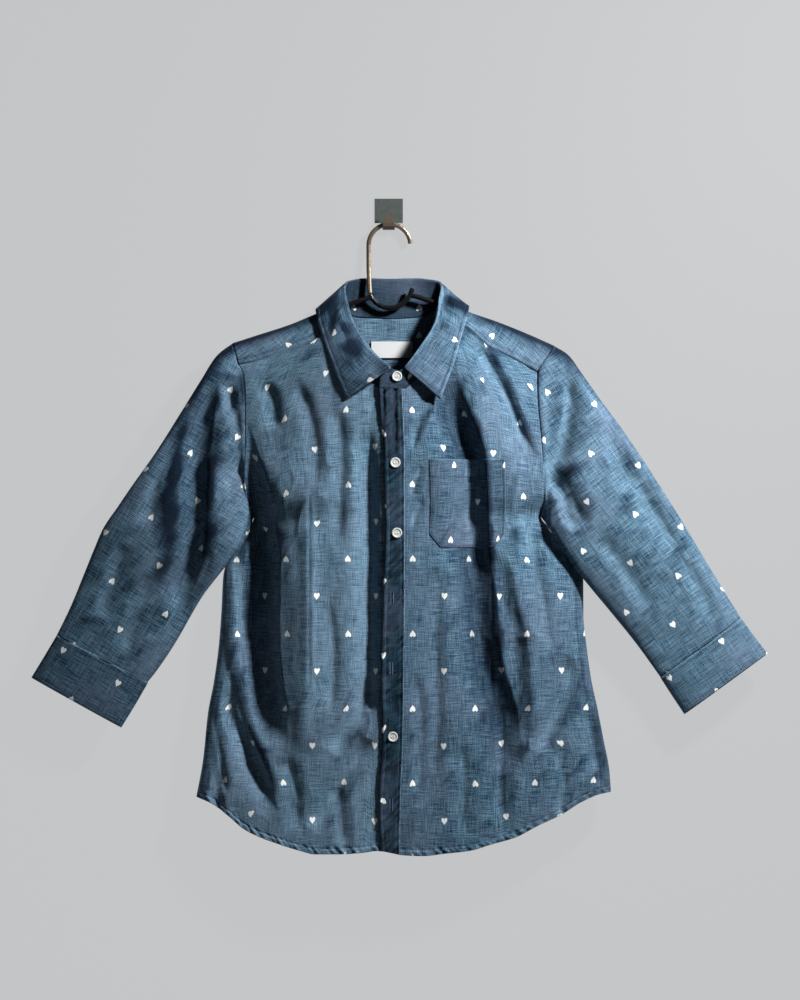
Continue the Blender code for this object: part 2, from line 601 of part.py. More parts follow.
def outward_of(points):
    """Level unit directions away from the middle of the neck opening."""
    away = points - np.array([NECK_MIDDLE[0], NECK_MIDDLE[1], 0.0])
    away[:, 2] = 0.0
    return away / np.linalg.norm(away, axis=1, keepdims=True)


def lifted(points):
    """Raise the points of the leaf that lie on the shirt's fronts clear of them."""
    points = points.copy()
    for point in points:
        edge, top, folds = LEFT_SIDE if point[0] < CENTRE_X else RIGHT_SIDE
        in_front = point[1] > RIDGE_OUT and point[2] > read(top, "down", "x", point[0])
        if in_front or point[1] == 0.0:
            face = front_face(point[0], point[2], edge, top, folds)
            point[1] = max(point[1], face + LEAF_LIFT)
    return points


def leaf_grid(along):
    """Turned-down leaf: up from the stand's top edge, over the roll and down to its outer edge."""
    roll = roll_points(along)
    outward = outward_of(roll)
    rows = lifted(np.stack([LEAF_EDGE["x"], LEAF_EDGE["out"], LEAF_EDGE["down"]], axis=-1))
    edge = lifted(np.stack([np.interp(along, LEAF_EDGE["along"], rows[:, axis])
                            for axis in range(3)], axis=-1))
    down = np.array([0.0, 0.0, 1.0])
    root = roll - ROOT_IN * outward + ROOT_DROP * down
    lap = np.clip(1.0 - along / LAP_SHARE, 0.0, 1.0)[:, None]
    shoulder = roll + (CREST_OUT + LAP_OUT * lap) * outward + CREST_DROP * down
    from_back = np.abs(along - 0.5)
    forward = np.clip((from_back - BULGE_FROM) / (BULGE_FULL - BULGE_FROM), 0.0, 1.0)[:, None]
    bow = LEAF_BULGE * forward * np.array([0.0, 1.0, 0.0])
    upper, lower = (shoulder + step * (edge - shoulder) + bow for step in LEAF_STEPS)
    return np.stack([root, roll - CREST_IN * outward, shoulder, upper, lifted(lower), edge])


# From grids to closed walls

def cells(grid, present, closed):
    """Corner indices of every cell that exists, in the grid's own turning sense."""
    rows, columns = grid.shape[:2]
    found = []
    for row in range(rows - 1):
        for column in range(columns if closed else columns - 1):
            if closed or present[row, column]:
                after = (column + 1) % columns
                found.append([(row, column), (row + 1, column), (row + 1, after), (row, after)])
    return found


def face_normals(grid, present, closed, flip):
    """Unit normals at the points of a grid, averaged over the cells around each point."""
    normals = np.zeros_like(grid)
    for corners in cells(grid, present, closed):
        a, b, c, d = (grid[corner] for corner in corners)
        normal = np.cross(c - a, d - b) * (-1.0 if flip else 1.0)
        for corner in corners:
            normals[corner] += normal
    length = np.linalg.norm(normals, axis=2, keepdims=True)
    return normals / np.where(length > 0.0, length, 1.0)


def share_seam_normals(panels):
    """Give points that two panels share at a seam one common normal, so that the walls meet."""
    sums, owners = {}, {}
    for index, panel in enumerate(panels):
        panel["normals"] = face_normals(panel["grid"], panel["present"], panel["closed"], panel["flip"])
        for point, normal in zip(panel["grid"].reshape(-1, 3), panel["normals"].reshape(-1, 3)):
            key = tuple(np.round(point, 2))
            sums[key] = sums.get(key, np.zeros(3)) + normal
            owners.setdefault(key, set()).add(index)
    for panel in panels:
        rows, columns = panel["grid"].shape[:2]
        panel["room"] = np.full((rows, columns), 0.5 * SEAM)
        for row in range(rows):
            for column in range(columns):
                key = tuple(np.round(panel["grid"][row, column], 2))
                length = np.linalg.norm(sums[key])
                if length > 1e-6:
                    panel["normals"][row, column] = sums[key] / length
                if len(owners[key]) > 2:
                    panel["room"][row, column] = CORNER_ROOM


def draw_in(grid, faces, room):
    """Move the rim of a panel in by its room at the seam, within its own surface."""
    edges = {}
    for corners in faces:
        for a, b in zip(corners, corners[1:] + corners[:1]):
            edges.setdefault(frozenset((a, b)), []).append(corners)
    inward = {}
    for edge, owners in edges.items():
        if len(owners) > 1:
            continue
        a, b = tuple(edge)
        middle = sum(grid[corner] for corner in owners[0]) / 4.0
        direction = grid[b] - grid[a]
        into = middle - grid[a]
        into = into - direction * (into @ direction) / (direction @ direction)
        into = into / np.linalg.norm(into)
        inward.setdefault(a, []).append(into)
        inward.setdefault(b, []).append(into)
    moved = grid.copy()
    for point, ways in inward.items():
        spread = 1.0 + (float(ways[0] @ ways[1]) if len(ways) == 2 else 0.0)
        moved[point] = grid[point] + sum(ways) * room[point] / max(spread, 0.5)
    return moved


def wall(name, material, panel, thickness):
    """Make one closed body: the face, the same face set back by its thickness, and the rim."""
    grid, normals, flip = panel["grid"], panel["normals"], panel["flip"]
    faces = cells(grid, panel["present"], panel["closed"])
    outer = draw_in(grid, faces, panel["room"])
    inner = outer - thickness * normals
    used = sorted({corner for corners in faces for corner in corners})
    number = {corner: index for index, corner in enumerate(used)}
    points = [outer[corner] for corner in used] + [inner[corner] for corner in used]
    back = len(used)
    polygons = []
    rim = {}
    for corners in faces:
        first, second, third, fourth = (number[corner] for corner in corners)
        ids = [first, fourth, third, second] if flip else [first, second, third, fourth]
        for triangle in ((ids[0], ids[1], ids[2]), (ids[0], ids[2], ids[3])):
            polygons.append(list(triangle))
            polygons.append([back + index for index in reversed(triangle)])
        for a, b in zip(ids, ids[1:] + ids[:1]):
            if (b, a) in rim:
                del rim[(b, a)]
            else:
                rim[(a, b)] = True
    for a, b in rim:
        polygons.append([b, a, back + a, back + b])
    return body(name, material, points, polygons)


def body(name, material, points, polygons):
    """Add one mesh object from points in millimetres of x, out, down."""
    mesh = bpy.data.meshes.new(name)
    mesh.from_pydata([(x * MM, -out * MM, -down * MM) for x, out, down in points], [], polygons)
    mesh.materials.append(material)
    mesh.validate()
    mesh.shade_smooth()
    item = bpy.data.objects.new(name, mesh)
    bpy.context.scene.collection.objects.link(item)
    return item


# Wire, hook, buttons and label

def rod(name, material, run, radius, sides=10):
    """A round wire along a run of points, with flat ends."""
    run = np.array(run, dtype=float)
    points, polygons = [], []
    for index, point in enumerate(run):
        ahead = run[min(index + 1, len(run) - 1)] - run[max(index - 1, 0)]
        ahead = ahead / np.linalg.norm(ahead)
        across = np.cross(ahead, (0.0, 1.0, 0.0))
        across = across / np.linalg.norm(across)
        over = np.cross(across, ahead)
        for side in range(sides):
            turn = 2.0 * math.pi * side / sides
            points.append(point + radius * (math.cos(turn) * across + math.sin(turn) * over))
    for ring in range(len(run) - 1):
        for side in range(sides):
            after = (side + 1) % sides
            polygons.append([ring * sides + side, (ring + 1) * sides + side,
                             (ring + 1) * sides + after, ring * sides + after])
    polygons.append(list(range(sides)))
    polygons.append([(len(run) - 1) * sides + side for side in reversed(range(sides))])
    return body(name, material, points, polygons)


def hook_run():
    """The hanger's hook: from its free tip over the wall hook's tongue and down to the U."""
    centre_x, centre_down = HOOK_CENTRE
    steps = 15
    run = []
    for step in range(steps + 1):
        turn = HOOK_TIP_TURN + (math.pi - HOOK_TIP_TURN) * step / steps
        run.append((centre_x + HOOK_RADIUS * math.cos(turn), HOOK_TOP_OUT,
                    centre_down - HOOK_RADIUS * math.sin(turn)))
    return run + SHANK


def arm_run(start, ridge, end_x):
    """One arm of the hanger, from the U and on under the shoulder."""
    step = math.copysign(ARM_STEP, end_x - start[-1][0])
    xs = list(np.arange(start[-1][0] + step, end_x, step)) + [end_x]
    xs = [x for x in xs if abs(x) > ARM_FROM]
    return start + [(x, RIDGE_OUT, float(read(ridge, "down", "x", x)) + ARM_DEPTH) for x in xs]


def joined(main, others):
    """Weld bodies into the first one."""
    for other in others:
        union = main.modifiers.new("weld_" + other.name, 'BOOLEAN')
        union.operation = 'UNION'
        union.solver = 'EXACT'
        union.object = other
        other.hide_render = True
        other.display_type = 'WIRE'
    return main


def wall_hook(material):
    """Square plate whose middle strip is bent forward and up into a pointed tongue."""
    grid = np.zeros((len(PLATE_ROWS["out"]), 4, 3))
    for row in range(grid.shape[0]):
        wide = PLATE_ROWS["wide"][row]
        half = PLATE_HALF if row <= PLATE_LAST_ROW else wide + 1.0
        for column, x in enumerate((-half, -wide, wide, half)):
            grid[row, column] = x, PLATE_ROWS["out"][row], PLATE_ROWS["down"][row]
    present = np.ones((grid.shape[0] - 1, 3), bool)
    present[PLATE_LAST_ROW:, 0] = False
    present[PLATE_LAST_ROW:, 2] = False
    panel = dict(grid=grid, present=present, closed=False, flip=False)
    share_seam_normals([panel])
    return wall("wall_hook", material, panel, PLATE)


def button(name, material, x, out, down):
    """Round button with a raised rim and four thread holes."""
    mesh = bmesh.new()
    loops = []
    for reach, height in BUTTON_OUTLINE:
        loop = []
        for side in range(BUTTON_SIDES):
            turn = 2.0 * math.pi * side / BUTTON_SIDES
            loop.append(mesh.verts.new(((x + reach * BUTTON_RADIUS * math.cos(turn)) * MM,
                                        -(out + height * BUTTON_THICK) * MM,
                                        (-down + reach * BUTTON_RADIUS * math.sin(turn)) * MM)))
        loops.append(loop)
    for upper, lower in zip(loops, loops[1:]):
        for side in range(BUTTON_SIDES):
            after = (side + 1) % BUTTON_SIDES
            mesh.faces.new((upper[side], lower[side], lower[after], upper[after]))
    mesh.faces.new(loops[0])
    mesh.faces.new(list(reversed(loops[-1])))
    bmesh.ops.recalc_face_normals(mesh, faces=mesh.faces)
    data = bpy.data.meshes.new(name)
    mesh.to_mesh(data)
    mesh.free()
    data.materials.append(material)
    data.shade_smooth()
    data.set_sharp_from_angle(angle=math.radians(40))
    item = bpy.data.objects.new(name, data)
    bpy.context.scene.collection.objects.link(item)
    cutters = []
    for across in (-BUTTON_HOLE_AT, BUTTON_HOLE_AT):
        for along in (-BUTTON_HOLE_AT, BUTTON_HOLE_AT):
            run = [(x + across, out - 1.0, down + along),
                   (x + across, out + BUTTON_THICK + 1.0, down + along)]
            cutters.append(pin(name + "_hole", run, BUTTON_HOLE))
    for cutter in cutters:
        cut = item.modifiers.new("thread_hole", 'BOOLEAN')
        cut.operation = 'DIFFERENCE'
        cut.solver = 'EXACT'
        cut.object = cutter
    return item


def pin(name, run, radius):
    """A small round cutter through a button, along out."""
    sides = 8
    points = []
    for x, out, down in run:
        for side in range(sides):
            turn = 2.0 * math.pi * side / sides
            points.append((x + radius * math.cos(turn), out, down + radius * math.sin(turn)))
    polygons = [[side, (side + 1) % sides, sides + (side + 1) % sides, sides + side]
                for side in range(sides)]
    polygons += [list(reversed(range(sides))), list(range(sides, 2 * sides))]
    mesh = bpy.data.meshes.new(name)
    mesh.from_pydata([(x * MM, -out * MM, -down * MM) for x, out, down in points], [], polygons)
    outward = bmesh.new()
    outward.from_mesh(mesh)
    bmesh.ops.recalc_face_normals(outward, faces=outward.faces)
    outward.to_mesh(mesh)
    outward.free()
    item = bpy.data.objects.new(name, mesh)
    bpy.context.scene.collection.objects.link(item)
    item.hide_render = True
    item.display_type = 'WIRE'
    return item


def label_grid():
    """Label on the inside of the back yoke; its face looks out at the viewer."""
    xs = np.linspace(LABEL_BOX["left"], LABEL_BOX["right"], 3)
    downs = (LABEL_BOX["top"], LABEL_BOX["bottom"])
    face = float(max(BACK_NECK["out"][1:4].max(), BACK_YOKE_SEAM["out"][1]))
    grid = np.zeros((2, 3, 3))
    for row, down in enumerate(downs):
        for column, x in enumerate(xs):
            grid[row, column] = x, face + CLOTH + 2.0 * SEAM + LABEL, down
    return grid


def finish(name, colour, roughness, metallic=0.0):
    """A plain material."""
    material = bpy.data.materials.new(name)
    material.use_nodes = True
    shader = material.node_tree.nodes["Principled BSDF"]
    shader.inputs["Base Color"].default_value = (*colour, 1.0)
    shader.inputs["Roughness"].default_value = roughness
    shader.inputs["Metallic"].default_value = metallic
    return material


def as_panel(grid, present=None, closed=False, flip=False):
    """A grid with what is needed to make it a wall."""
    if present is None:
        present = np.ones((grid.shape[0] - 1, grid.shape[1] - 1), bool)
    return dict(grid=grid, present=present, closed=closed, flip=flip)


def build():
    for item in list(bpy.data.objects):
        bpy.data.objects.remove(item, do_unlink=True)

    chambray = finish("chambray", (0.10, 0.19, 0.30), 0.9)
    pearl = finish("pearl_button", (0.80, 0.80, 0.76), 0.3)
    woven_white = finish("woven_white", (0.85, 0.85, 0.86), 0.8)
    plated = finish("plated_wire", (0.62, 0.56, 0.47), 0.25, 1.0)
    coated = finish("black_coating", (0.010, 0.010, 0.012), 0.35)
    galvanised = finish("galvanised_sheet", (0.26, 0.29, 0.28), 0.55, 0.9)

    left_front = front_grid(left_columns(), *LEFT_SIDE, tucked=True)
    right_front = front_grid(right_columns(), *RIGHT_SIDE, tucked=False)
    placket = placket_grid(left_front, right_front)
    yoke, yoke_present = yoke_grid(left_front, right_front)
    back = back_grid(yoke)
    left_ring = armhole(left_front[:, 0], back[:, 0], yoke[:, 0])
    right_ring = armhole(right_front[:, -1], back[:, -1], yoke[:, -1])
    left_sleeve = tube(LEFT_SLEEVE, left_ring, LEFT_SLEEVE_FOLDS)
    right_sleeve = tube(RIGHT_SLEEVE, right_ring, RIGHT_SLEEVE_FOLDS)
    left_cuff = tube(LEFT_CUFF, left_ring, [])
    right_cuff = tube(RIGHT_CUFF, right_ring, [])
    stand, along = stand_grid(left_front, right_front, placket, yoke)

    sewn = {
        "front_left": as_panel(left_front),
        "front_right": as_panel(right_front),
        "placket": as_panel(placket),
        "yoke": as_panel(yoke, yoke_present, flip=True),
        "back": as_panel(back, flip=True),
        "sleeve_left": as_panel(np.concatenate([left_ring[None], left_sleeve]), closed=True),
        "sleeve_right": as_panel(np.concatenate([right_ring[None], right_sleeve]), closed=True,
                                 flip=True),
        "cuff_left": as_panel(left_cuff, closed=True),
        "cuff_right": as_panel(right_cuff, closed=True, flip=True),
        "collar_stand": as_panel(stand),
    }
    share_seam_normals(list(sewn.values()))
    for name in ("sleeve_left", "sleeve_right"):
        rings = sewn[name]["grid"]
        rings[0] += SLEEVE_HEAD_EASE * (rings[1] - rings[0])
    for name, panel in sewn.items():
        wall(name, chambray, panel, CLOTH)

    laid = {
        "pocket": (as_panel(pocket_grid(right_front)), chambray, TRIM),
        "collar_leaf": (as_panel(leaf_grid(along), flip=True), chambray, TRIM),
        "neck_label": (as_panel(label_grid()), woven_white, LABEL),
    }
    for name, (panel, material, thickness) in laid.items():
        share_seam_normals([panel])
        wall(name, material, panel, thickness)

    for name, x, down in BUTTONS:
        corners = [(x + dx, down + dz) for dx in (-BUTTON_RADIUS, BUTTON_RADIUS)
                   for dz in (-BUTTON_RADIUS, BUTTON_RADIUS)]
        face = max(front_face(*corner, *RIGHT_SIDE) for corner in corners)
        button(name, pearl, x, max(face, STAND_ENDS_OVER[0][1] * (name == "button_stand")) + SEAM, down)

    rod("hanger_hook", plated, hook_run(), HOOK_WIRE)
    coated_u = rod("hanger_arms", coated, COATED_U, ARM_WIRE)
    left_arm = rod("left_arm", coated, arm_run(LEFT_ARM, LEFT_RIDGE, ARM_REACH[0]), ARM_WIRE)
    right_arm = rod("right_arm", coated, arm_run(RIGHT_ARM, RIGHT_RIDGE, ARM_REACH[1]), ARM_WIRE)
    joined(coated_u, [left_arm, right_arm])
    wall_hook(galvanised)


build()
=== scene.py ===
"""Looks of a button-front shirt on a wire hanger that hangs on a small square wall hook.

Tables are in millimetres: x to the viewer's right, out from the wall, down from the middle of the
hook plate. left and right are the viewer's. Meshes are in metres: (x, -out, -down).
"""
import math
from functools import partial

import bpy
import numpy as np
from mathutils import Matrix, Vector, noise


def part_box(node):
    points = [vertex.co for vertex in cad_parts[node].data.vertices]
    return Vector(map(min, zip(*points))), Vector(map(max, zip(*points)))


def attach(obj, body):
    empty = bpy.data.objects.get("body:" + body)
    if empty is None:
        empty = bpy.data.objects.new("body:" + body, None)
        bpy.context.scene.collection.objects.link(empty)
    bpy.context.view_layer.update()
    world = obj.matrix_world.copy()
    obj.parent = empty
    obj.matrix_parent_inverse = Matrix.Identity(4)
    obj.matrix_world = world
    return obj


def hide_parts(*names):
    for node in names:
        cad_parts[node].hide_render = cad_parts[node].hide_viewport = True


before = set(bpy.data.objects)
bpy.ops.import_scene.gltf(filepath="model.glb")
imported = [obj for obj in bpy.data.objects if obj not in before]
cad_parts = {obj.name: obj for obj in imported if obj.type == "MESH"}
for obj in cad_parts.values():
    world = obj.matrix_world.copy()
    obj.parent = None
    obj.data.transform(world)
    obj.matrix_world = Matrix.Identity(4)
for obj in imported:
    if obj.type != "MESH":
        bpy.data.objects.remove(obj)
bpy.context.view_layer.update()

bpy.ops.object.select_all(action='DESELECT')

# ---------------------------------------------------------------------------------------------
# Studio: a pale wall right behind the hook's plate and a pale floor well below the shirt. One small
# strong lamp stands high on the viewer's right, so each fold is dark on its left; a faint wide lamp
# and the room fill the shadows.
MM = 0.001
VIEW_X, VIEW_DOWN = 13.6, 346.8          # middle of the picture
GARMENT_OUT = 30.0                       # depth at which the picture's scale holds
PICTURE_TALL = 1.2                       # metres that the picture takes in from top to bottom
CAMERA_OUT = 8.0
STAGE_SIZE = 9.0
WALL_PLACE, WALL_ALBEDO, WALL_GLOW = (0.0, 0.0006, 0.4), 0.020, 0.557
FLOOR_PLACE, FLOOR_ALBEDO, FLOOR_GLOW = (0.0, -4.4, -1.45), 0.45, 0.03
LAMPS = [  # name, spot it looks at, degrees to the right and up, metres away, size, watts, colour, spread
    ("key_lamp", (190.0, 320.0), 46.0, 43.0, 1.3, 0.18, 16.0, (1.0, 0.99, 0.97), 100.0),
    ("fill_lamp", (0.0, 347.0), -30.0, 10.0, 3.0, 2.4, 0.2, (0.90, 0.96, 1.0), 180.0),
]
ROOM_COLOUR, ROOM_LIGHT = (0.93, 0.97, 1.0, 1.0), 0.012


def new_material(name, **settings):
    """A material, its node tree and its shader, with some inputs of the shader set."""
    made = bpy.data.materials.new(name)
    made.use_nodes = True
    shader = made.node_tree.nodes["Principled BSDF"]
    for setting, value in settings.items():
        shader.inputs[setting.replace("_", " ")].default_value = value
    return made, made.node_tree, shader


def stage_plane(name, place, tilt, albedo, glow):
    """A wide matt plane of the studio, evenly bright."""
    bpy.ops.mesh.primitive_plane_add(size=STAGE_SIZE, location=place, rotation=(math.radians(tilt), 0.0, 0.0))
    plane = bpy.context.object
    plane.name = "studio_" + name
    paint, _, _ = new_material(
        name + "_paint", Base_Color=(albedo, albedo, albedo, 1.0), Roughness=0.95, Specular_IOR_Level=0.1,
        Emission_Color=(0.97, 0.985, 1.0, 1.0), Emission_Strength=glow)
    plane.data.materials.append(paint)
    return plane


stage_plane("wall", WALL_PLACE, 90.0, WALL_ALBEDO, WALL_GLOW)
stage_plane("floor", FLOOR_PLACE, 0.0, FLOOR_ALBEDO, FLOOR_GLOW)

for name, aim, turn, rise, away, size, watts, colour, spread in LAMPS:
    turn, rise = math.radians(turn), math.radians(rise)
    way = Vector((math.sin(turn) * math.cos(rise), -math.cos(turn) * math.cos(rise), math.sin(rise)))
    aim = Vector((aim[0] * MM, -GARMENT_OUT * MM, -aim[1] * MM))
    bpy.ops.object.light_add(type='AREA', location=aim + away * way)
    lamp = bpy.context.object
    lamp.name = name
    lamp.rotation_euler = way.to_track_quat('Z', 'Y').to_euler()
    lamp.data.shape, lamp.data.size, lamp.data.energy = 'SQUARE', size, watts
    lamp.data.spread, lamp.data.color = math.radians(spread), colour

room = bpy.data.worlds.new("room")
room.use_nodes = True
backdrop = room.node_tree.nodes["Background"].inputs
backdrop["Color"].default_value, backdrop["Strength"].default_value = ROOM_COLOUR, ROOM_LIGHT
bpy.context.scene.world = room
bpy.context.scene.view_settings.view_transform = 'Standard'

bpy.ops.object.camera_add(location=(VIEW_X * MM, -CAMERA_OUT, -VIEW_DOWN * MM),
                          rotation=(math.radians(90), 0.0, 0.0))
camera = bpy.context.object
camera.data.lens = camera.data.sensor_width * (CAMERA_OUT - GARMENT_OUT * MM) / PICTURE_TALL
bpy.context.scene.camera = camera


# ---------------------------------------------------------------------------------------------
# Fronts: two panels of slubby chambray, blue warp and white-flecked weft, printed with small white
# hearts. The left one runs on under the placket, and both end in a narrow rolled hem.
CLOTH = 0.7                # what one layer of the cloth measures, with its fuzz
SIDE_ROLL = 26.0           # width over which a side turns from front to back
SHOULDER_FALL = 85.0       # drop over which a front swings out to its full depth
SEAM_EASE = 24.0           # width beside a side or armhole seam where a fold dies out
CENTRE_X = 4.0             # line of the buttons
HEM_TURN = 6.5             # depth of the rolled hem
HEART_ACROSS, HEART_ALONG = 0.0768, 0.0900    # the print's repeat, in metres
HEART_WIDE, HEART_TALL = 0.0036, 0.0035       # half-sizes of a heart
# Painted shade in hollows: the depth where it starts, its darkening for each mm and its most; and how pale
# ridges rub
SHADE_FADE_FROM, SHADE_FADE_PER_MM, HOLLOW_SHADE_MOST, FADE_PALE = 0.8, 0.36, 1.15, 0.26
LEFT_PAINTED_LIGHT, RIGHT_PAINTED_SHADE = 0.33, -0.13           # painted light: the left front made paler and the right front darker, for how the lamp lights them
LAP_PAINTED_SHADE = 0.042                              # painted shade in a lap, for each mm of its depth
FOLD_AT_END, FOLD_FADE = 0.12, 0.22           # depth left at a fold's ends, and share of its run that fades
LAP_ROUND, LAP_STEEP = 1.2, 1.6               # how rounded a lap's crest is, and how steep beside it
LEFT_COLUMNS, RIGHT_COLUMNS, FRONT_ROWS = 132, 136, 246
TRUE_ROW = 140                                # row along which the weave of a front runs level
HEM_ROWS, HEM_ROWS_FROM = 15, 758.0           # closer rows near the hem, and the level where they start
LEFT_SEED, RIGHT_SEED = 3.0, 11.0             # which small wrinkles a front has


def table(columns, rows):
    """Turn rows into named columns."""
    return dict(zip(columns.split(), np.array(rows, dtype=float).T))


def read(tab, column, key, at):
    """Smooth curve through one column of a table, without overshoot, read where its key is at."""
    order = np.argsort(tab[key])
    places, values = tab[key][order], tab[column][order]
    step = np.diff(places)
    rise = np.diff(values) / step
    slope = np.concatenate([rise[:1], np.zeros(len(rise) - 1), rise[-1:]])
    same = rise[1:] * rise[:-1] > 0.0
    total = np.where(same, rise[1:] + rise[:-1], 1.0)
    slope[1:-1] = np.where(same, 2.0 * rise[1:] * rise[:-1] / total, 0.0)
    at = np.clip(at, places[0], places[-1])
    row = np.clip(np.searchsorted(places, at, side="right") - 1, 0, len(step) - 1)
    part, width = (at - places[row]) / step[row], step[row]
    rest = 1.0 - part
    return (values[row] * (1.0 + 2.0 * part) * rest ** 2 + values[row + 1] * part ** 2 * (3.0 - 2.0 * part)
            + width * part * rest * (slope[row] * rest - slope[row + 1] * part))


# Level of the panels' rows, and the share of the neckline's and of the hem's shape in it
ROWS = table("down top hem", [
    (181, 1.00, 0.00), (198, 0.80, 0.00), (227, 0.50, 0.00), (262, 0.20, 0.00), (298, 0.00, 0.00),
    (560, 0.00, 0.00), (600, 0.00, 0.12), (640, 0.00, 0.28), (680, 0.00, 0.47), (715, 0.00, 0.66),
    (745, 0.00, 0.84), (772, 0.00, 1.00),
])
# Armholes and side seams of the fronts. roll is how far the cloth turns forward beside the seam.
LEFT_EDGE = table("down x out roll", [
    (183, -181, 24, 0), (198, -174, 29, 0), (227, -172, 33, 0), (262, -172, 36, 0),
    (298, -172.5, 37, 0), (320, -173, 36, 0), (343, -170, 31, 2), (367, -162, 20, 5),
    (385, -172, 17, 7), (404, -184, 15, 8), (425, -196, 15, 9), (440, -199, 16, 10),
    (480, -201, 18, 12), (520, -204, 19, 13), (565, -210, 20, 13), (602, -217, 21, 13),
    (659, -223, 22, 13), (703, -231, 22, 13),
])
RIGHT_EDGE = table("down x out roll", [
    (192, 178, 25, 0), (207, 178, 29, 0), (232, 179, 33, 0), (264, 182, 36, 0), (298, 185, 37, 0),
    (320, 187, 36, 0), (343, 187, 31, 2), (367, 183, 20, 5), (385, 199, 17, 7), (404, 213, 15, 8),
    (425, 228, 15, 9), (444, 234, 16, 10), (485, 234, 18, 12), (516, 237, 19, 13),
    (560, 243, 20, 13), (598, 251, 21, 13), (634, 258, 22, 13), (671, 265, 22, 13),
    (697, 267, 22, 13),
])
# Front yoke seam and neckline, across each front
LEFT_TOP = table("x down out", [
    (-181, 183, 24), (-159, 179, 26), (-127, 168, 28), (-91, 154, 31), (-62, 143, 33),
    (-43, 183, 56), (-27, 203, 65), (-12, 212, 69.5), (20, 214, 70),
])
RIGHT_TOP = table("x down out", [
    (-12, 213, 70), (20, 214, 70), (34, 202, 66), (48, 186, 59), (60, 163, 48), (69, 128, 31),
    (96, 139, 30), (119, 161, 30), (149, 176, 27), (178, 192, 25),
])
FRONT_HEM = table("x down", [
    (-231, 703), (-212, 711), (-193, 725), (-174, 741), (-154, 751), (-135, 758), (-106, 767),
    (-88, 771), (-60, 771), (-31, 769), (-13, 767), (18, 772), (41, 773), (69, 770), (96, 767),
    (124, 759), (152, 751), (179, 737), (207, 724), (231, 709), (252, 700), (267, 697),
])
# Middle of the front and of the back, seen from the side
MIDDLE = table("down front back", [
    (128, 70, 8), (212, 71, 8), (260, 70, 8), (320, 68, 8.5), (400, 65, 9), (500, 61, 9),
    (600, 57, 8), (700, 54, 7.5), (790, 52, 7.5),
])
# Placket's free left edge, and the right edge where it is sewn to the right front
PLACKET = table("down left right", [
    (212, -12, 17), (299, -6, 20), (386, -4, 20), (467, -7, 20), (548, -9, 19), (630, -8, 18),
    (710, -12, 15), (772, -10, 14),
])
UNDERLAP = 4.0             # left front ends this far before the placket's seam
LIFT = 1.8                 # room under the placket
SEAM_LAP = 3.0             # how far a panel runs on under the piece that is sewn over it

# Folds: depth of the trough (a ridge is below 0), its half-widths on the left and on the right, and
# the run of its bottom as x and down
LEFT_FOLDS = [
    (-7.0, 17, 48, [(-140, 290), (-122, 360), (-112, 440), (-106, 560), (-104, 650)]),
    (6.8, 12, 10, [(-165, 300), (-162, 340), (-158, 380)]),
    (11.5, 17, 12, [(-26, 262), (-21, 330), (-20, 420), (-20, 500), (-22, 570), (-26, 600)]),
    (8.1, 15, 9, [(-14, 560), (-32, 596), (-50, 622), (-66, 650)]),
    (8.8, 17, 9, [(-24, 632), (-46, 668), (-64, 700), (-92, 742)]),
    (8.0, 20, 8, [(-205, 505), (-190, 570), (-171, 630), (-156, 668), (-141, 700)]),
    (5.4, 10, 6, [(-214, 600), (-206, 640), (-197, 700)]),
    (-3.4, 9, 9, [(-100, 340), (-97, 430), (-96, 520), (-104, 640)]),
    (4.1, 12, 8, [(-112, 206), (-96, 240), (-88, 286), (-90, 330)]),
    (4.3, 10, 8, [(-64, 236), (-56, 280), (-58, 340), (-60, 400)]),
    (4.9, 14, 8, [(-150, 206), (-138, 232), (-136, 262)]),
    (3.2, 10, 7, [(-72, 470), (-66, 540), (-70, 600)]),
    (4.1, 12, 7, [(-122, 655), (-112, 700), (-108, 745)]),
    (3.5, 9, 7, [(-60, 690), (-58, 720), (-56, 760)]),
    (7.0, 15, 9, [(-192, 400), (-181, 440), (-172, 520)]),
]
# Laps: folds that fall over, with a sharp crest. Depth, width of the slope down to its left, width of
# the soft rise beyond, and the run of the crest
LEFT_LAPS = [
    (21.0, 27, 20, [(-186, 205), (-178, 240), (-166, 257), (-153, 300), (-144, 323), (-135, 371), (-129, 419),
                    (-130, 467), (-130, 515), (-125, 575), (-118, 640)]),
    (6.5, 11, 12, [(-186, 570), (-178, 608), (-166, 625), (-152, 655), (-138, 691), (-132, 720)]),
    (5.0, 9, 14, [(-218, 592), (-208, 640), (-196, 706), (-190, 730)]),
]
RIGHT_FOLDS = [
    (5.0, 17, 10, [(76, 178), (86, 222), (95, 262), (104, 310), (108, 366), (113, 410), (120, 470)]),
    (8.8, 14, 7, [(92, 150), (110, 168), (128, 200), (142, 226), (153, 254), (169, 284), (182, 304)]),
    (4.3, 8, 6, [(62, 196), (44, 226), (34, 262), (28, 290)]),
    (3, 6, 4, [(40, 306), (33, 322), (26, 342)]),
    (3, 6, 4, [(41, 348), (34, 362), (26, 380)]),
    (8.1, 15, 9, [(226, 540), (212, 574), (196, 612), (180, 650)]),
    (5.4, 12, 8, [(238, 600), (247, 640), (253, 672)]),
    (4.7, 14, 9, [(142, 515), (141, 600), (138, 690), (136, 750)]),
    (3.5, 12, 8, [(60, 430), (56, 520), (58, 600), (52, 680)]),
    (4.1, 12, 8, [(168, 350), (172, 410), (184, 470), (192, 520)]),
    (4.1, 10, 8, [(86, 640), (90, 690), (88, 750)]),
    (4.1, 12, 8, [(205, 640), (208, 690), (204, 724)]),
    (-3.2, 10, 10, [(150, 300), (150, 360), (156, 420)]),
    (3.5, 9, 7, [(34, 560), (38, 620), (34, 700)]),
]
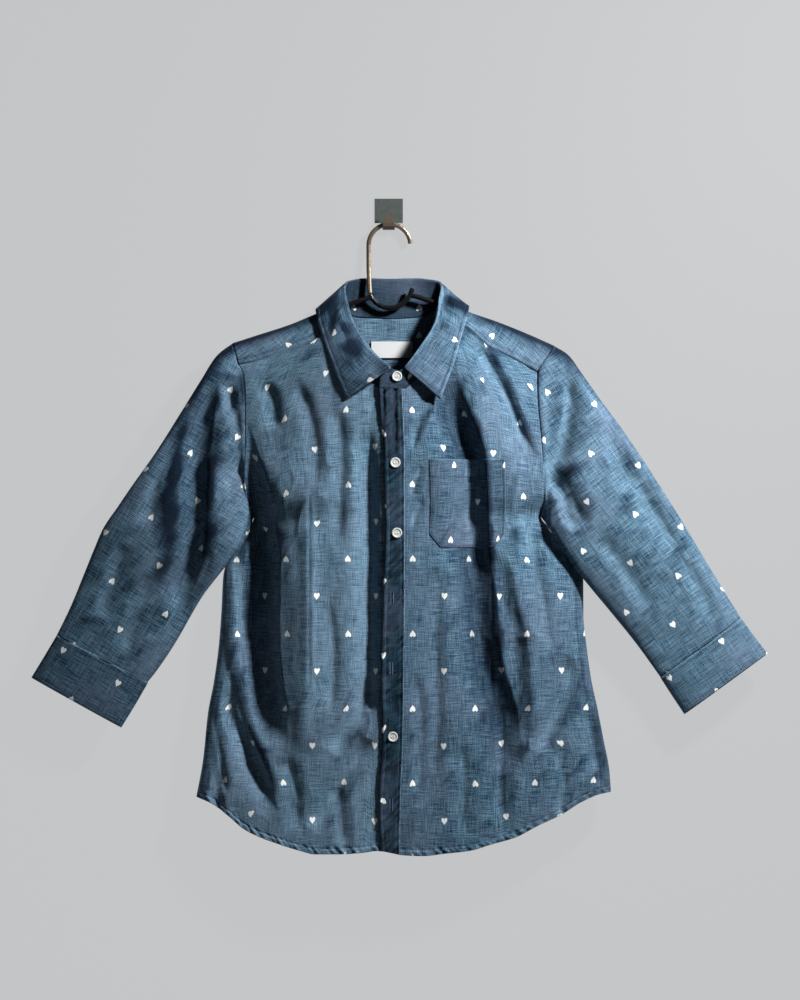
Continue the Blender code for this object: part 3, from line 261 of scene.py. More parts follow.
RIGHT_LAPS = [
    (19.0, 22, 18, [(80, 172), (83, 197), (95, 233), (107, 263), (117, 293), (120, 347), (122, 401),
                    (130, 467), (137, 539), (148, 575), (156, 601), (160, 640), (163, 672)]),
    (9.0, 15, 12, [(140, 405), (148, 431), (154, 467), (163, 496), (169, 539), (171, 587), (174, 640)]),
    (5.0, 8, 16, [(142, 590), (142, 640), (141, 690), (141, 730)]),
    (5.0, 6, 9, [(246, 574), (252, 620), (259, 676)]),
]
LEFT_SHAPE = (LEFT_EDGE, LEFT_TOP, LEFT_FOLDS, LEFT_LAPS)
RIGHT_SHAPE = (RIGHT_EDGE, RIGHT_TOP, RIGHT_FOLDS, RIGHT_LAPS)


def hump(value, width, at=0.0):
    """A smooth hump of height 1."""
    return np.exp(-((value - at) / width) ** 2)


def spots(x, out, down):
    """Points from their three measures."""
    return np.stack([x, out, down], axis=-1)


def travelled(line):
    """How far along a line of points each of them lies."""
    return np.concatenate([[0.0], np.cumsum(np.linalg.norm(np.diff(line, axis=0), axis=1))])


def beside(run, x, down):
    """Distance from a run, which side of it (below 0 on its right) and how much depth the place gets."""
    run = np.array(run, dtype=float)
    reach = travelled(run)
    fine = np.linspace(0.0, reach[-1], 6 * len(run))
    rows = table("reach x down", np.column_stack([reach, run]))
    path = np.column_stack([read(rows, "x", "reach", fine), read(rows, "down", "reach", fine)])
    nearest = np.full(x.shape, np.inf)
    side, place = np.zeros_like(x), np.zeros_like(x)
    for index, (start, end) in enumerate(zip(path, path[1:])):
        span = end - start
        way_x, way_down = x - start[0], down - start[1]
        share = np.clip((way_x * span[0] + way_down * span[1]) / (span @ span), 0.0, 1.0)
        off = np.hypot(way_x - share * span[0], way_down - share * span[1])
        closer = off < nearest
        nearest = np.where(closer, off, nearest)
        side = np.where(closer, span[0] * way_down - span[1] * way_x, side)
        place = np.where(closer, (index + share) / (len(path) - 1), place)
    if run[-1, 1] < run[0, 1]:
        side = -side
    ends = np.clip(np.minimum(place, 1.0 - place) / FOLD_FADE, 0.0, 1.0)
    return nearest, side, FOLD_AT_END + (1.0 - FOLD_AT_END) * ends * (2.0 - ends)


def sunk(folds, x, down):
    """How deep a list of folds presses the cloth in, at points of the front view."""
    total = np.zeros_like(x)
    for deep, left, right, run in folds:
        nearest, side, share = beside(run, x, down)
        total += deep * share * hump(nearest, np.where(side < 0.0, right, left))
    return total


def lapped(laps, x, down):
    """How deep the laps press the cloth in: steep just left of the crest, and nothing right of it."""
    total = np.zeros_like(x)
    for deep, wide, far, run in laps:
        nearest, side, share = beside(run, x, down)
        away = np.hypot(nearest, LAP_ROUND) - LAP_ROUND
        near_crest = 1.0 - (1.0 - np.clip(away / wide, 0.0, 1.0)) ** LAP_STEEP
        beyond = hump(np.maximum(away - wide, 0.0), far)
        ends = np.clip((share - FOLD_AT_END) / (1.0 - FOLD_AT_END), 0.0, 1.0)
        total += deep * ends * np.where(side < 0.0, 0.0, near_crest * beyond)
    return total


def ruffle(x, down, wide, tall, seed):
    """Soft uneven ripples, from -1 to 1, of about the given width and height."""
    flat = zip(x.ravel() / wide, down.ravel() / tall)
    return np.array([noise.noise((a, b, seed)) for a, b in flat]).reshape(x.shape)


def crumple(x, down, seed):
    """Small wrinkles of worn cotton: long soft ones, and short sharp ones here and there."""
    long_ones = (1.7 * ruffle(x, down, 34.0, 95.0, seed)
                 + 1.2 * ruffle(x + 0.5 * down, down, 21.0, 48.0, seed + 7.0))
    crease = 1.0 - 2.2 * np.abs(ruffle(x + 0.35 * down, down - 0.2 * x, 26.0, 60.0, seed + 13.0))
    where = np.clip(ruffle(x, down, 70.0, 90.0, seed + 19.0) * 2.2 + 0.2, 0.0, 1.0)
    fine = 0.28 * ruffle(x, down, 8.0, 14.0, seed + 29.0)
    return long_ones + 1.5 * np.clip(crease, 0.0, 1.0) ** 3 * where + fine


def quarter(share):
    """Height of a quarter round from 0 to 1."""
    return np.sqrt(np.maximum(0.0, 1.0 - (1.0 - np.clip(share, 0.0, 1.0)) ** 2))


def front_base(x, down, edge):
    """How far out a smooth front lies, below its shoulder."""
    edge_x = read(edge, "x", "down", down)
    from_edge = np.abs(edge_x - x)
    across = np.minimum(from_edge / np.abs(edge_x - CENTRE_X), 1.0)
    roll = read(edge, "roll", "down", down) * quarter(from_edge / SIDE_ROLL)
    turned = read(edge, "out", "down", down) + roll
    middle = read(MIDDLE, "front", "down", down)
    return turned + (middle - turned) * np.sin(0.5 * math.pi * across)


def front_face(x, down, edge, top, folds, laps=(), seed=None):
    """Face of a front, with its folds, and with its wrinkles if it is given a seed."""
    top_down = read(top, "down", "x", x)
    short = read(top, "out", "x", x) - front_base(x, top_down, edge)
    out = front_base(x, down, edge) + short * (1.0 - quarter((down - top_down) / SHOULDER_FALL))
    from_edge = np.abs(read(edge, "x", "down", down) - x)
    ease = np.minimum(from_edge / SEAM_EASE, 1.0) * quarter((down - top_down) / SEAM_EASE)
    ease = ease * np.clip((np.abs(x - CENTRE_X) - 12.0) / 14.0, 0.0, 1.0)
    out = out - (sunk(folds, x, down) + lapped(laps, x, down)) * ease
    if seed is not None:
        out = out + crumple(x, down, seed) * (0.1 + 0.9 * ease)
    return out


def smooth_step(value, low, high):
    """0 below low, 1 above high and a soft step between."""
    share = np.clip((value - low) / (high - low), 0.0, 1.0)
    return share * share * (3.0 - 2.0 * share)

def panel_net(inner, outer, top, hem, columns, rows):
    """x and down of a panel's points, between two edges, its top line and its hem."""
    share, (first, last) = np.linspace(0.0, 1.0, columns), ROWS["down"][[0, -1]]
    level = np.concatenate([np.linspace(first, HEM_ROWS_FROM - 1.0, rows - HEM_ROWS),
                            np.linspace(HEM_ROWS_FROM, last, HEM_ROWS)])[:, None]
    at_top, at_hem = np.full(columns, first), np.full(columns, last)
    for _ in range(8):
        at_top = np.interp(inner(at_top) + share * (outer(at_top) - inner(at_top)), top["x"], top["down"])
        at_hem = read(hem, "down", "x", inner(at_hem) + share * (outer(at_hem) - inner(at_hem)))
    down = (level + read(ROWS, "top", "down", level) * (at_top - first)
            + read(ROWS, "hem", "down", level) * (at_hem - last))
    return inner(down) + share * (outer(down) - inner(down)), down, at_hem


def hem_turn(down, at_hem, x, seed):
    """A rolled hem: a thicker band, drawn in at its stitching and puckered aslant; and painted light and
    shade on its puckers, with its rubbed fold edge paler.
    """
    above = at_hem - down
    band = smooth_step(HEM_TURN + 1.0 - above, 0.0, 1.6)
    rope = (ruffle(x + 0.8 * above, 0.35 * above, 5.0, 9.0, seed)
            + 0.5 * ruffle(x, above, 11.0, 30.0, seed + 4.0))
    pucker = rope * hump(np.maximum(above - 5.0, 0.0), 4.0)
    relief = 0.7 * band - 0.8 * hump(above, 1.3, at=HEM_TURN) + 1.9 * pucker
    return relief, 1.3 * pucker * band + 0.2 * hump(above, 1.2)


def lengths(grid, axis):
    """Length of cloth between neighbours of a grid, added up along one axis, in metres."""
    step = np.linalg.norm(np.diff(grid, axis=axis), axis=2)
    return np.concatenate([np.zeros_like(np.take(step, [0], axis=axis)), np.cumsum(step, axis=axis)],
                          axis=axis) * MM


def grain(grid, heart_at, middle=0, level=0):
    """The cloth's own coordinates over a grid, in metres, with one upright heart at a place of the view.

    The weave runs true down the column called middle and across the row called level.
    """
    across, along = lengths(grid, 1), lengths(grid, 0)
    across += (grid[:, middle, 0] * MM - across[:, middle])[:, None]
    along += (grid[level, :, 2] * MM - along[level, :])[None, :]
    return from_heart(grid, np.stack([across, along], axis=-1), heart_at)


def from_heart(grid, measured, heart_at):
    """Shift measured cloth coordinates so that an upright heart lies at a place of the front view."""
    near = np.hypot(grid[..., 0] - heart_at[0], grid[..., 2] - heart_at[1]) - 0.2 * grid[..., 1]
    return measured - measured[np.unravel_index(np.argmin(near), near.shape)]


def band_grain(grid, heart_at, row):
    """Grain of a band that is cut straight: measured along one of its rows and square to it."""
    across = np.tile(lengths(grid, 1)[row], (grid.shape[0], 1))
    return from_heart(grid, np.stack([across, lengths(grid, 0)], axis=-1), heart_at)


def unit(ways):
    """Directions of length 1."""
    return ways / np.maximum(np.linalg.norm(ways, axis=-1, keepdims=True), 1e-9)


def shade_and_fade(grid, flip, closed, reach=6):
    """Painted shade and wear from the cloth's shape: folds' bottoms painted dark, and their ridges rubbed
    pale.
    """
    tall = np.pad(grid, ((reach, reach), (0, 0), (0, 0)), mode="edge")
    if closed:
        wide = np.concatenate([grid[:, -1 - reach:-1], grid, grid[:, 1:1 + reach]], axis=1)
    else:
        wide = np.pad(grid, ((0, 0), (reach, reach), (0, 0)), mode="edge")
    around = 0.25 * (tall[:-2 * reach] + tall[2 * reach:] + wide[:, :-2 * reach] + wide[:, 2 * reach:])
    outward = -unit(np.cross(np.gradient(grid, axis=0), np.gradient(grid, axis=1))) * (-1.0 if flip else 1.0)
    hollow = ((around - grid) * outward).sum(axis=-1)
    hollow = np.sign(hollow) * np.maximum(np.abs(hollow) - SHADE_FADE_FROM, 0.0)
    return np.clip(-SHADE_FADE_PER_MM * hollow, -HOLLOW_SHADE_MOST, FADE_PALE)


def whole_mesh(name, mesh, operation, **options):
    """Put a mesh in the scene as a smooth object, and run one operator on all of it."""
    mesh.shade_smooth()
    piece = bpy.data.objects.new(name, mesh)
    bpy.context.scene.collection.objects.link(piece)
    bpy.ops.object.select_all(action='DESELECT')
    bpy.context.view_layer.objects.active = piece
    piece.select_set(True)
    bpy.ops.object.mode_set(mode='EDIT')
    bpy.ops.mesh.select_all(action='SELECT')
    operation(**options)
    bpy.ops.object.mode_set(mode='OBJECT')
    return piece


def sew(name, grid, cloth_grain, flip=False, closed=False, thick=CLOTH, wear_and_shade=0.0, keep=None):
    """Make one panel of cloth from a grid of points: a shell with a thickness, on its own grain."""
    rows, columns = grid.shape[:2]
    wrap = columns - 1 if closed else columns
    # painted shade in the panel's hollows, and paler rubbed ridges
    wear_and_shade = wear_and_shade + shade_and_fade(grid, flip, closed)
    number = np.arange(rows)[:, None] * wrap + np.arange(columns)[None, :] % wrap
    faces, corners = [], []
    for row in range(rows - 1):
        for column in range(columns - 1):
            if keep is not None and not keep[row, column]:
                continue
            cell = [(row, column), (row + 1, column), (row + 1, column + 1), (row, column + 1)]
            cell = cell[::-1] if flip else cell
            faces.append([number[corner] for corner in cell])
            corners += cell
    mesh = bpy.data.meshes.new(name)
    points = (grid[:, :wrap] * np.array([MM, -MM, -MM])).reshape(-1, 3)
    mesh.from_pydata(points.tolist(), [], faces)
    at = np.array(corners)
    layer = mesh.uv_layers.new(name="Grain")
    layer.data.foreach_set("uv", cloth_grain[at[:, 0], at[:, 1]].astype(np.float32).ravel())
    worn_and_shaded = mesh.attributes.new("wear_and_shade", 'FLOAT', 'POINT')
    worn_and_shaded.data.foreach_set("value", wear_and_shade[:, :wrap].astype(np.float32).ravel())
    piece = whole_mesh(name, mesh, bpy.ops.mesh.delete_loose)
    shell = piece.modifiers.new("cloth", 'SOLIDIFY')
    shell.thickness = thick * MM
    shell.offset = -1.0
    shell.use_even_offset = False
    bpy.ops.object.modifier_apply(modifier="cloth")
    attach(piece, "root")
    return piece


def link_or_set(tree, socket, value):
    """Join a node's output to a socket, or write a plain value there."""
    if isinstance(value, bpy.types.NodeSocket):
        tree.links.new(value, socket)
    else:
        socket.default_value = value


def calc(tree, operation, *terms):
    """One math node."""
    step = tree.nodes.new("ShaderNodeMath")
    step.operation = operation
    for socket, term in zip(step.inputs, terms):
        link_or_set(tree, socket, term)
    return step.outputs[0]


def reckoning(tree):
    """The math nodes used most, as functions of their terms."""
    return [partial(calc, tree, kind) for kind in ('ADD', 'SUBTRACT', 'MULTIPLY', 'MINIMUM', 'MAXIMUM')]


def blend_colour(tree, share, *colours):
    """Mix two colours, or the outputs that carry them."""
    mix = tree.nodes.new("ShaderNodeMix")
    mix.data_type = 'RGBA'
    link_or_set(tree, mix.inputs[0], share)
    for socket, colour in zip(mix.inputs[6:8], colours):
        link_or_set(tree, socket, colour if isinstance(colour, bpy.types.NodeSocket) else (*colour, 1.0))
    return mix.outputs[2]


def add_relief(tree, shader, height, strength, distance):
    """Bump the surface by a height."""
    relief = tree.nodes.new("ShaderNodeBump")
    relief.inputs["Strength"].default_value = strength
    relief.inputs["Distance"].default_value = distance
    tree.links.new(height, relief.inputs["Height"])
    tree.links.new(relief.outputs[0], shader.inputs["Normal"])


def yarn_noise(tree, u, v, across, along, detail):
    """Streaks in the yarns: noise with its own frequency across and along, per metre."""
    joined = tree.nodes.new("ShaderNodeCombineXYZ")
    link_or_set(tree, joined.inputs[0], calc(tree, 'MULTIPLY', u, across))
    link_or_set(tree, joined.inputs[1], calc(tree, 'MULTIPLY', v, along))
    made = tree.nodes.new("ShaderNodeTexNoise")
    made.noise_dimensions = '2D'
    for name, value in (("Scale", 1.0), ("Detail", detail), ("Roughness", 0.6)):
        made.inputs[name].default_value = value
    tree.links.new(joined.outputs[0], made.inputs["Vector"])
    return made.outputs["Fac"]


def heart_mask(tree, u, v, turned):
    """1 inside the printed hearts, 0 outside: upright ones, or the turned ones between them."""
    add, less, times, _, most = reckoning(tree)
    shift = 0.5 if turned else 0.0
    near_u, near_v = (
        times(less(calc(tree, 'FRACT', add(calc(tree, 'DIVIDE', place, repeat), 0.5 + shift)), 0.5), scale)
        for place, repeat, scale in (
            (u, HEART_ACROSS, HEART_ACROSS / HEART_WIDE),
            (v, HEART_ALONG, (HEART_ALONG if turned else -HEART_ALONG) / HEART_TALL)))
    aside = calc(tree, 'ABSOLUTE', near_u)
    up = less(add(near_v, 0.42), times(calc(tree, 'SQRT', aside), 0.94))
    reach = add(times(aside, aside), times(up, up))
    return calc(tree, 'SMOOTH_MIN', most(times(less(1.06, reach), 5.0), 0.0), 1.0, 0.1)


def chambray(name, deep=(0.004, 0.032, 0.070), pale=(0.160, 0.275, 0.375)):
    """Blue chambray with slubs both ways, paler where worn, with painted shade that darkens it almost to
    black where the attribute is below 0, and its small heart print.
    """
    cloth, tree, shader = new_material(name, Roughness=0.86, Specular_IOR_Level=0.10, Sheen_Weight=0.03,
                                       Sheen_Roughness=0.5)
    add, less, times, least, most = reckoning(tree)
    own = tree.nodes.new("ShaderNodeUVMap")
    own.uv_map = "Grain"
    split = tree.nodes.new("ShaderNodeSeparateXYZ")
    tree.links.new(own.outputs[0], split.inputs[0])
    u, v = split.outputs[0], split.outputs[1]
    weft, warp, speck, cloudy = (less(yarn_noise(tree, u, v, *streak), 0.5) for streak in (
        (48.0, 900.0, 1.0), (860.0, 40.0, 1.0), (900.0, 1000.0, 1.0), (22.0, 22.0, 2.0)))
    wear_and_shade = tree.nodes.new("ShaderNodeAttribute")
    wear_and_shade.attribute_name = "wear_and_shade"
    worn_and_shaded = wear_and_shade.outputs["Fac"]
    fleck = add(add(times(weft, 1.25), times(warp, 0.95)), times(speck, 1.3))
    level = add(add(add(fleck, 0.43), times(cloudy, 0.12)), times(worn_and_shaded, 0.4))
    blue = blend_colour(tree, least(most(level, 0.0), 1.25), deep, pale)
    plum = most(less(times(yarn_noise(tree, u, v, 9.0, 9.0, 2.0), 0.55), 0.20), 0.0)
    blue = blend_colour(tree, plum, blue, (0.20, 0.22, 0.33))
    hearts = most(heart_mask(tree, u, v, False), heart_mask(tree, u, v, True))
    blue = blend_colour(tree, times(hearts, 0.96), blue, (0.86, 0.89, 0.88))
    # Painted shade: below 0 the attribute darkens the cloth and its print almost to black.
    painted_shade = least(times(least(worn_and_shaded, 0.0), -0.80), 0.88)
    blue = blend_colour(tree, painted_shade, blue, (0.0, 0.003, 0.010))
    tree.links.new(blue, shader.inputs["Base Color"])
    add_relief(tree, shader, fleck, 0.5, 0.0003)
    return cloth


blue_chambray = chambray("blue_chambray")


def dress(piece, cloth, node):
    """Give a sewn piece its cloth, and hide the part of model.glb that it stands for."""
    piece.data.materials.append(cloth)
    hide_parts(node)


def line(tab, column, shift=0.0):
    """An edge's x as a function of down."""
    return lambda down: read(tab, column, "down", down) + shift


def under_placket(x):
    """How much deeper the left front lies where the placket covers it."""
    return (LIFT + 0.9) * np.clip((x + 43.0) / 22.0, 0.0, 1.0)


def dart(x, down, at_x, start, end):
    """A narrow sewn tuck that shapes the waist: a fine groove with a puffed lip."""
    along = smooth_step(down, start, start + 30.0) * (1.0 - smooth_step(down, end - 60.0, end))
    return along * (0.9 * hump(x, 1.5, at=at_x) - 0.6 * hump(x - at_x, 3.0, at=4.0))


front_grids = {}
for side, inner, outer, shape, columns, seed, tuck, hem_seed, heart_at, true_column, wear_and_shade in (
        ("left", line(LEFT_EDGE, "x"), line(PLACKET, "right", -UNDERLAP), LEFT_SHAPE, LEFT_COLUMNS, LEFT_SEED,
         (-95.0, 328.0, 600.0), 5.0, (-16.4, 550.8), 115, LEFT_PAINTED_LIGHT),
        ("right", line(PLACKET, "right", -SEAM_LAP), line(RIGHT_EDGE, "x"), RIGHT_SHAPE, RIGHT_COLUMNS,
         RIGHT_SEED, (124.0, 402.0, 640.0), 8.0, (65.2, 550.8), 3, RIGHT_PAINTED_SHADE)):
    x, down, at_hem = panel_net(inner, outer, shape[1], FRONT_HEM, columns, FRONT_ROWS)
    out = front_face(x, down, *shape, seed=seed)
    if side == "left":
        out -= under_placket(x)
    out -= dart(x, down, *tuck)
    relief, worn_and_shaded = hem_turn(down, at_hem, x, hem_seed)
    grid = spots(x, out + relief, down)
    # Painted shade is added in the laps, the deeper ones darker.
    panel = sew("front_" + side + "_cloth", grid, grain(grid, heart_at, true_column, TRUE_ROW),
                wear_and_shade=wear_and_shade + worn_and_shaded - LAP_PAINTED_SHADE * lapped(shape[3], x, down))
    dress(panel, blue_chambray, "front_" + side)
    front_grids[side] = grid


# ---------------------------------------------------------------------------------------------
# Stitching: thread a little darker than the cloth, lockstitched with about ten stitches to 25 mm.
# Each stitch is a small bead that dips into the cloth at its ends.
STITCH_PITCH, STITCH_LONG, STITCH_HALF = 2.7, 2.0, 0.30
STITCH_RAISE, STITCH_DIP = 0.12, 0.2          # of its middle over the cloth, and of its ends into it


def on_grid(grid, rows, columns):
    """Points of a grid at rows and columns that may lie between its lines."""
    rows = np.clip(rows, 0.0, grid.shape[0] - 1.001)
    columns = np.clip(columns, 0.0, grid.shape[1] - 1.001)
    row, column = rows.astype(int), columns.astype(int)
    down, across = (rows - row)[:, None], (columns - column)[:, None]
    upper = grid[row, column] * (1.0 - across) + grid[row, column + 1] * across
    lower = grid[row + 1, column] * (1.0 - across) + grid[row + 1, column + 1] * across
    return upper * (1.0 - down) + lower * down


def seam_run(grid, rows, columns, flip=False):
    """Middles, directions and outward normals of the stitches along a line on a grid."""
    rows, columns = np.broadcast_arrays(np.asarray(rows, float), np.asarray(columns, float))
    reach = travelled(on_grid(grid, rows, columns))
    places = np.arange(0.5 * STITCH_PITCH, reach[-1], STITCH_PITCH)

    def along(shift, row_shift=0.0, column_shift=0.0):
        return on_grid(grid, np.interp(places + shift, reach, rows) + row_shift,
                       np.interp(places + shift, reach, columns) + column_shift)

    by_row = along(0.0, row_shift=0.5) - along(0.0, row_shift=-0.5)
    by_column = along(0.0, column_shift=0.5) - along(0.0, column_shift=-0.5)
    normal = np.cross(by_row, by_column) * (-1.0 if flip else 1.0)
    return along(0.0), along(1.0) - along(-1.0), -normal


def across_run(places, ahead):
    """Stitches at given places, that all lie one way and face out from the wall."""
    return places, np.tile(ahead, (len(places), 1)), np.tile([0.0, 1.0, 0.0], (len(places), 1))


def thread(name, material, runs, long=STITCH_LONG, half=STITCH_HALF):
    """One mesh of all the stitches in a list of runs."""
    middle, ahead, normal = (np.concatenate(parts) for parts in zip(*runs))
    ahead, normal = unit(ahead), unit(normal)
    aside = unit(np.cross(ahead, normal))
    centre = middle + STITCH_RAISE * normal
    points, faces = [], []
    for place, way, out_way, side in zip(centre, ahead, normal, aside):
        first = len(points)
        points.append(place - 0.5 * long * way - STITCH_DIP * out_way)
        for end in (-0.28, 0.28):
            for across, up in ((1.0, 0.0), (0.0, 1.0), (-1.0, 0.0), (0.0, -1.0)):
                points.append(place + end * long * way + half * (across * side + up * out_way))
        points.append(place + 0.5 * long * way - STITCH_DIP * out_way)
        for corner in range(4):
            after = (corner + 1) % 4
            faces.append([first, first + 1 + after, first + 1 + corner])
            faces.append([first + 1 + corner, first + 1 + after, first + 5 + after, first + 5 + corner])
            faces.append([first + 9, first + 5 + corner, first + 5 + after])
    mesh = bpy.data.meshes.new(name)
    mesh.from_pydata((np.array(points) * np.array([MM, -MM, -MM])).tolist(), [], faces)
    mesh.materials.append(material)
    stitches = whole_mesh(name, mesh, bpy.ops.mesh.normals_make_consistent, inside=False)
    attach(stitches, "root")


def uneven_finish(name, colour, other, scale, detail=4.0, bump=0.0, **settings):
    """A finish whose colour varies a little between two tones."""
    made, tree, shader = new_material(name, **settings)
    place = tree.nodes.new("ShaderNodeTexCoord")
    uneven = tree.nodes.new("ShaderNodeTexNoise")
    uneven.inputs["Scale"].default_value = scale
    uneven.inputs["Detail"].default_value = detail
    tree.links.new(place.outputs["Object"], uneven.inputs["Vector"])
    tree.links.new(blend_colour(tree, uneven.outputs["Fac"], colour, other), shader.inputs["Base Color"])
    if bump:
        add_relief(tree, shader, uneven.outputs["Fac"], 0.4, bump)
    return made


def spun_thread(name, colour):
    """Cotton-wrapped thread, with its colour a little uneven along the seam."""
    paler = tuple(1.7 * value for value in colour)
    return uneven_finish(name, colour, paler, 240.0, detail=2.0, Roughness=0.7)


navy_thread = spun_thread("navy_thread", (0.045, 0.085, 0.150))


def line_of(count):
    """Every row or column number of a grid."""
    return np.arange(float(count))


def rows_at(measure, value):
    """For each column of a measure that rises down a grid, the row number where it has a value."""
    value = np.broadcast_to(value, measure.shape[1:])
    return np.array([np.interp(one, rising, line_of(len(rising))) for one, rising in zip(value, measure.T)])


def hem_run(grid, at_hem, flip=False):
    """The stitches of a rolled hem."""
    return seam_run(grid, rows_at(grid[..., 2], at_hem - HEM_TURN), line_of(grid.shape[1]), flip=flip)


thread("front_hem_stitches", navy_thread, [
    hem_run(grid, read(FRONT_HEM, "down", "x", grid[-1, :, 0])) for grid in front_grids.values()])


# ---------------------------------------------------------------------------------------------
# Placket: a folded band of the same chambray with the buttonholes in it, sewn on the right front
# and stitched near both edges. It lies over the left front, and its free left edge stands off.
PLACKET_LIFT = 1.3         # of the band over the right front's own face
PLACKET_STITCH = 5.0       # stitching lines from the band's edges
BUTTONHOLES = [(4.0, 464.0), (3.0, 548.0), (3.0, 712.0)]
BUTTONHOLE_LONG = 14.0
BUTTONS = [(10.0, 199.0), (8.0, 302.0), (10.0, 386.0), (5.0, 630.0)]
PLACKET_COLUMNS, PLACKET_ROWS, PLACKET_MIDDLE = 23, 292, 11
PALE_EDGE = 0.22           # how far in the pale edge stitches lie, for 1 at the other line


def band_relief(from_edge, groove_at):
    """A folded and stitched edge: rounded off, with a groove where the stitches draw it in."""
    return (-0.9 * hump(from_edge, 1.0) - 0.55 * hump(from_edge, 0.9, at=groove_at)
            + 0.35 * hump(from_edge, 0.35 * groove_at, at=0.5 * groove_at))


x, down, _ = panel_net(line(PLACKET, "left"), line(PLACKET, "right"), RIGHT_TOP, FRONT_HEM,
                       PLACKET_COLUMNS, PLACKET_ROWS)
from_left, from_right = x - x[:, :1], x[:, -1:] - x
pucker = 1.2 * ruffle(down + 0.9 * x, x, 5.4, 30.0, 41.0) + 0.5 * ruffle(down + 0.3 * x, x, 9.0, 14.0, 42.0)
relief = pucker * (1.9 * hump(from_left, 5.5, at=5.0) + 2.1 * hump(from_right, 7.0, at=6.0))
relief += 0.9 * ruffle(x, down, 22.0, 36.0, 43.0)
under_stand = 1.0 - smooth_step(down, 262.0, 320.0)
relief -= under_stand * (1.9 * hump(x, 2.1, at=-6.5) + 2.1 * hump(x, 2.3, at=8.0))
for button_x, button_down in BUTTONS:
    relief *= smooth_step(np.hypot(x - button_x, down - button_down), 6.5, 13.0)
out = front_face(x, down, *RIGHT_SHAPE, seed=RIGHT_SEED) + PLACKET_LIFT
out += band_relief(from_left, PLACKET_STITCH) + band_relief(from_right, PLACKET_STITCH)
out += relief + 1.1 * ruffle(x, down, 60.0, 75.0, 47.0)
# Painted light and shade: the puckers' ridges paler and their hollows darker; the pale edge and stitching
# lines are rubbed wear.
worn_and_shaded = np.clip(0.8 * relief, -0.6, 0.7)
worn_and_shaded += (0.75 * hump(from_left, 1.1) + 0.85 * hump(from_right, 1.1)
         + 0.55 * hump(from_left, 0.7, at=PLACKET_STITCH) + 0.75 * hump(from_right, 0.7, at=PLACKET_STITCH))
# Each buttonhole's slit gets a painted shadow, nearly black.
for hole_x, hole_down in BUTTONHOLES:
    slit = hump(x, 0.9, at=hole_x) * (np.abs(down - hole_down) < 0.5 * BUTTONHOLE_LONG)
    out -= 0.7 * slit
    worn_and_shaded -= 1.6 * slit
placket_points = spots(x, out, down)
# A much darker copy of the chambray: painted shade, for the placket and the collar stand.
shaded_chambray = chambray("shaded_chambray", deep=(0.000, 0.004, 0.011), pale=(0.017, 0.056, 0.090))
placket_band = sew("placket_band", placket_points,
                   grain(placket_points, (-21.8, 443.0), PLACKET_MIDDLE, TRUE_ROW), thick=1.1, wear_and_shade=worn_and_shaded)
dress(placket_band, shaded_chambray, "placket")

last = PLACKET_COLUMNS - 1
width = read(PLACKET, "right", "down", placket_points[:, 0, 2]) - placket_points[:, 0, 0]
inset = PLACKET_STITCH / width * last
rows = line_of(PLACKET_ROWS)
hole_runs = []
for hole_x, hole_down in BUTTONHOLES:
    bars = hole_down + np.arange(-0.5 * BUTTONHOLE_LONG, 0.5 * BUTTONHOLE_LONG, 0.75)
    at_rows = np.interp(bars, placket_points[:, PLACKET_MIDDLE, 2], rows)
    for side in (-1.5, 1.5):
        at_columns = rows_at(placket_points[at_rows.astype(int), :, 0].T, hole_x + side)
        hole_runs.append(across_run(on_grid(placket_points, at_rows, at_columns), [1.0, 0.0, 0.0]))
thread("placket_stitches", navy_thread, [seam_run(placket_points, rows, inset),
                                         seam_run(placket_points, rows, last - inset)])
thread("placket_edge_stitches", spun_thread("pale_thread", (0.15, 0.25, 0.33)),
       [seam_run(placket_points, rows, last - PALE_EDGE * inset)], long=2.6, half=0.45)
thread("buttonhole_stitches", navy_thread, hole_runs, long=2.1, half=0.33)


# ---------------------------------------------------------------------------------------------
# Chest pocket: a patch of the same cloth with a deep turned hem at its mouth and cut-off lower
# corners, stitched round on three sides. Its mouth stands a little open.
POCKET_LEFT, POCKET_RIGHT, POCKET_TOP, POCKET_BOTTOM = 48.0, 139.0, 298.0, 404.0
POCKET_CUT = (14.0, 17.0)          # how far the lower corners are cut in, across and up
POCKET_HEM = 22.0                  # depth of the turned hem at the mouth
POCKET_ROWS, POCKET_COLUMNS = 84, 72
POCKET_STITCH, POCKET_SIDE_ROWS = 2.2, 68      # stitching from the edge, and rows down to the cut corners

share = np.linspace(0.0, 1.0, POCKET_COLUMNS)
across = POCKET_LEFT + share * (POCKET_RIGHT - POCKET_LEFT)
to_side = np.minimum(across - POCKET_LEFT, POCKET_RIGHT - across)
bottom = POCKET_BOTTOM - POCKET_CUT[1] * np.clip(1.0 - to_side / POCKET_CUT[0], 0.0, 1.0)
level = np.linspace(0.0, 1.0, POCKET_ROWS)[:, None]
x = across + 1.2 * np.sin(level * 3.0)
down = POCKET_TOP + level * (bottom - POCKET_TOP)
from_top, edge_near = down - POCKET_TOP, np.minimum(to_side, bottom - down)
out = front_face(x, down, *RIGHT_SHAPE, seed=RIGHT_SEED) + 1.2
out += band_relief(edge_near, POCKET_STITCH) - 0.5 * hump(from_top, 1.2, at=POCKET_HEM)
out += 0.7 * hump(from_top, 8.0) * np.sin(share * math.pi) * 1.6
out += 0.5 * ruffle(x, down, 6.0, 9.0, 61.0) * hump(edge_near, 5.0)
out += 0.5 * ruffle(x, down, 17.0, 30.0, 67.0)
worn_and_shaded = (0.15 * hump(edge_near, 0.9) - 0.5 * hump(edge_near, 0.8, at=POCKET_STITCH)
        + 0.15 * hump(from_top, 1.0) - 0.4 * hump(from_top, 0.9, at=POCKET_HEM)) - 0.16
pocket_points = spots(x, out, down)
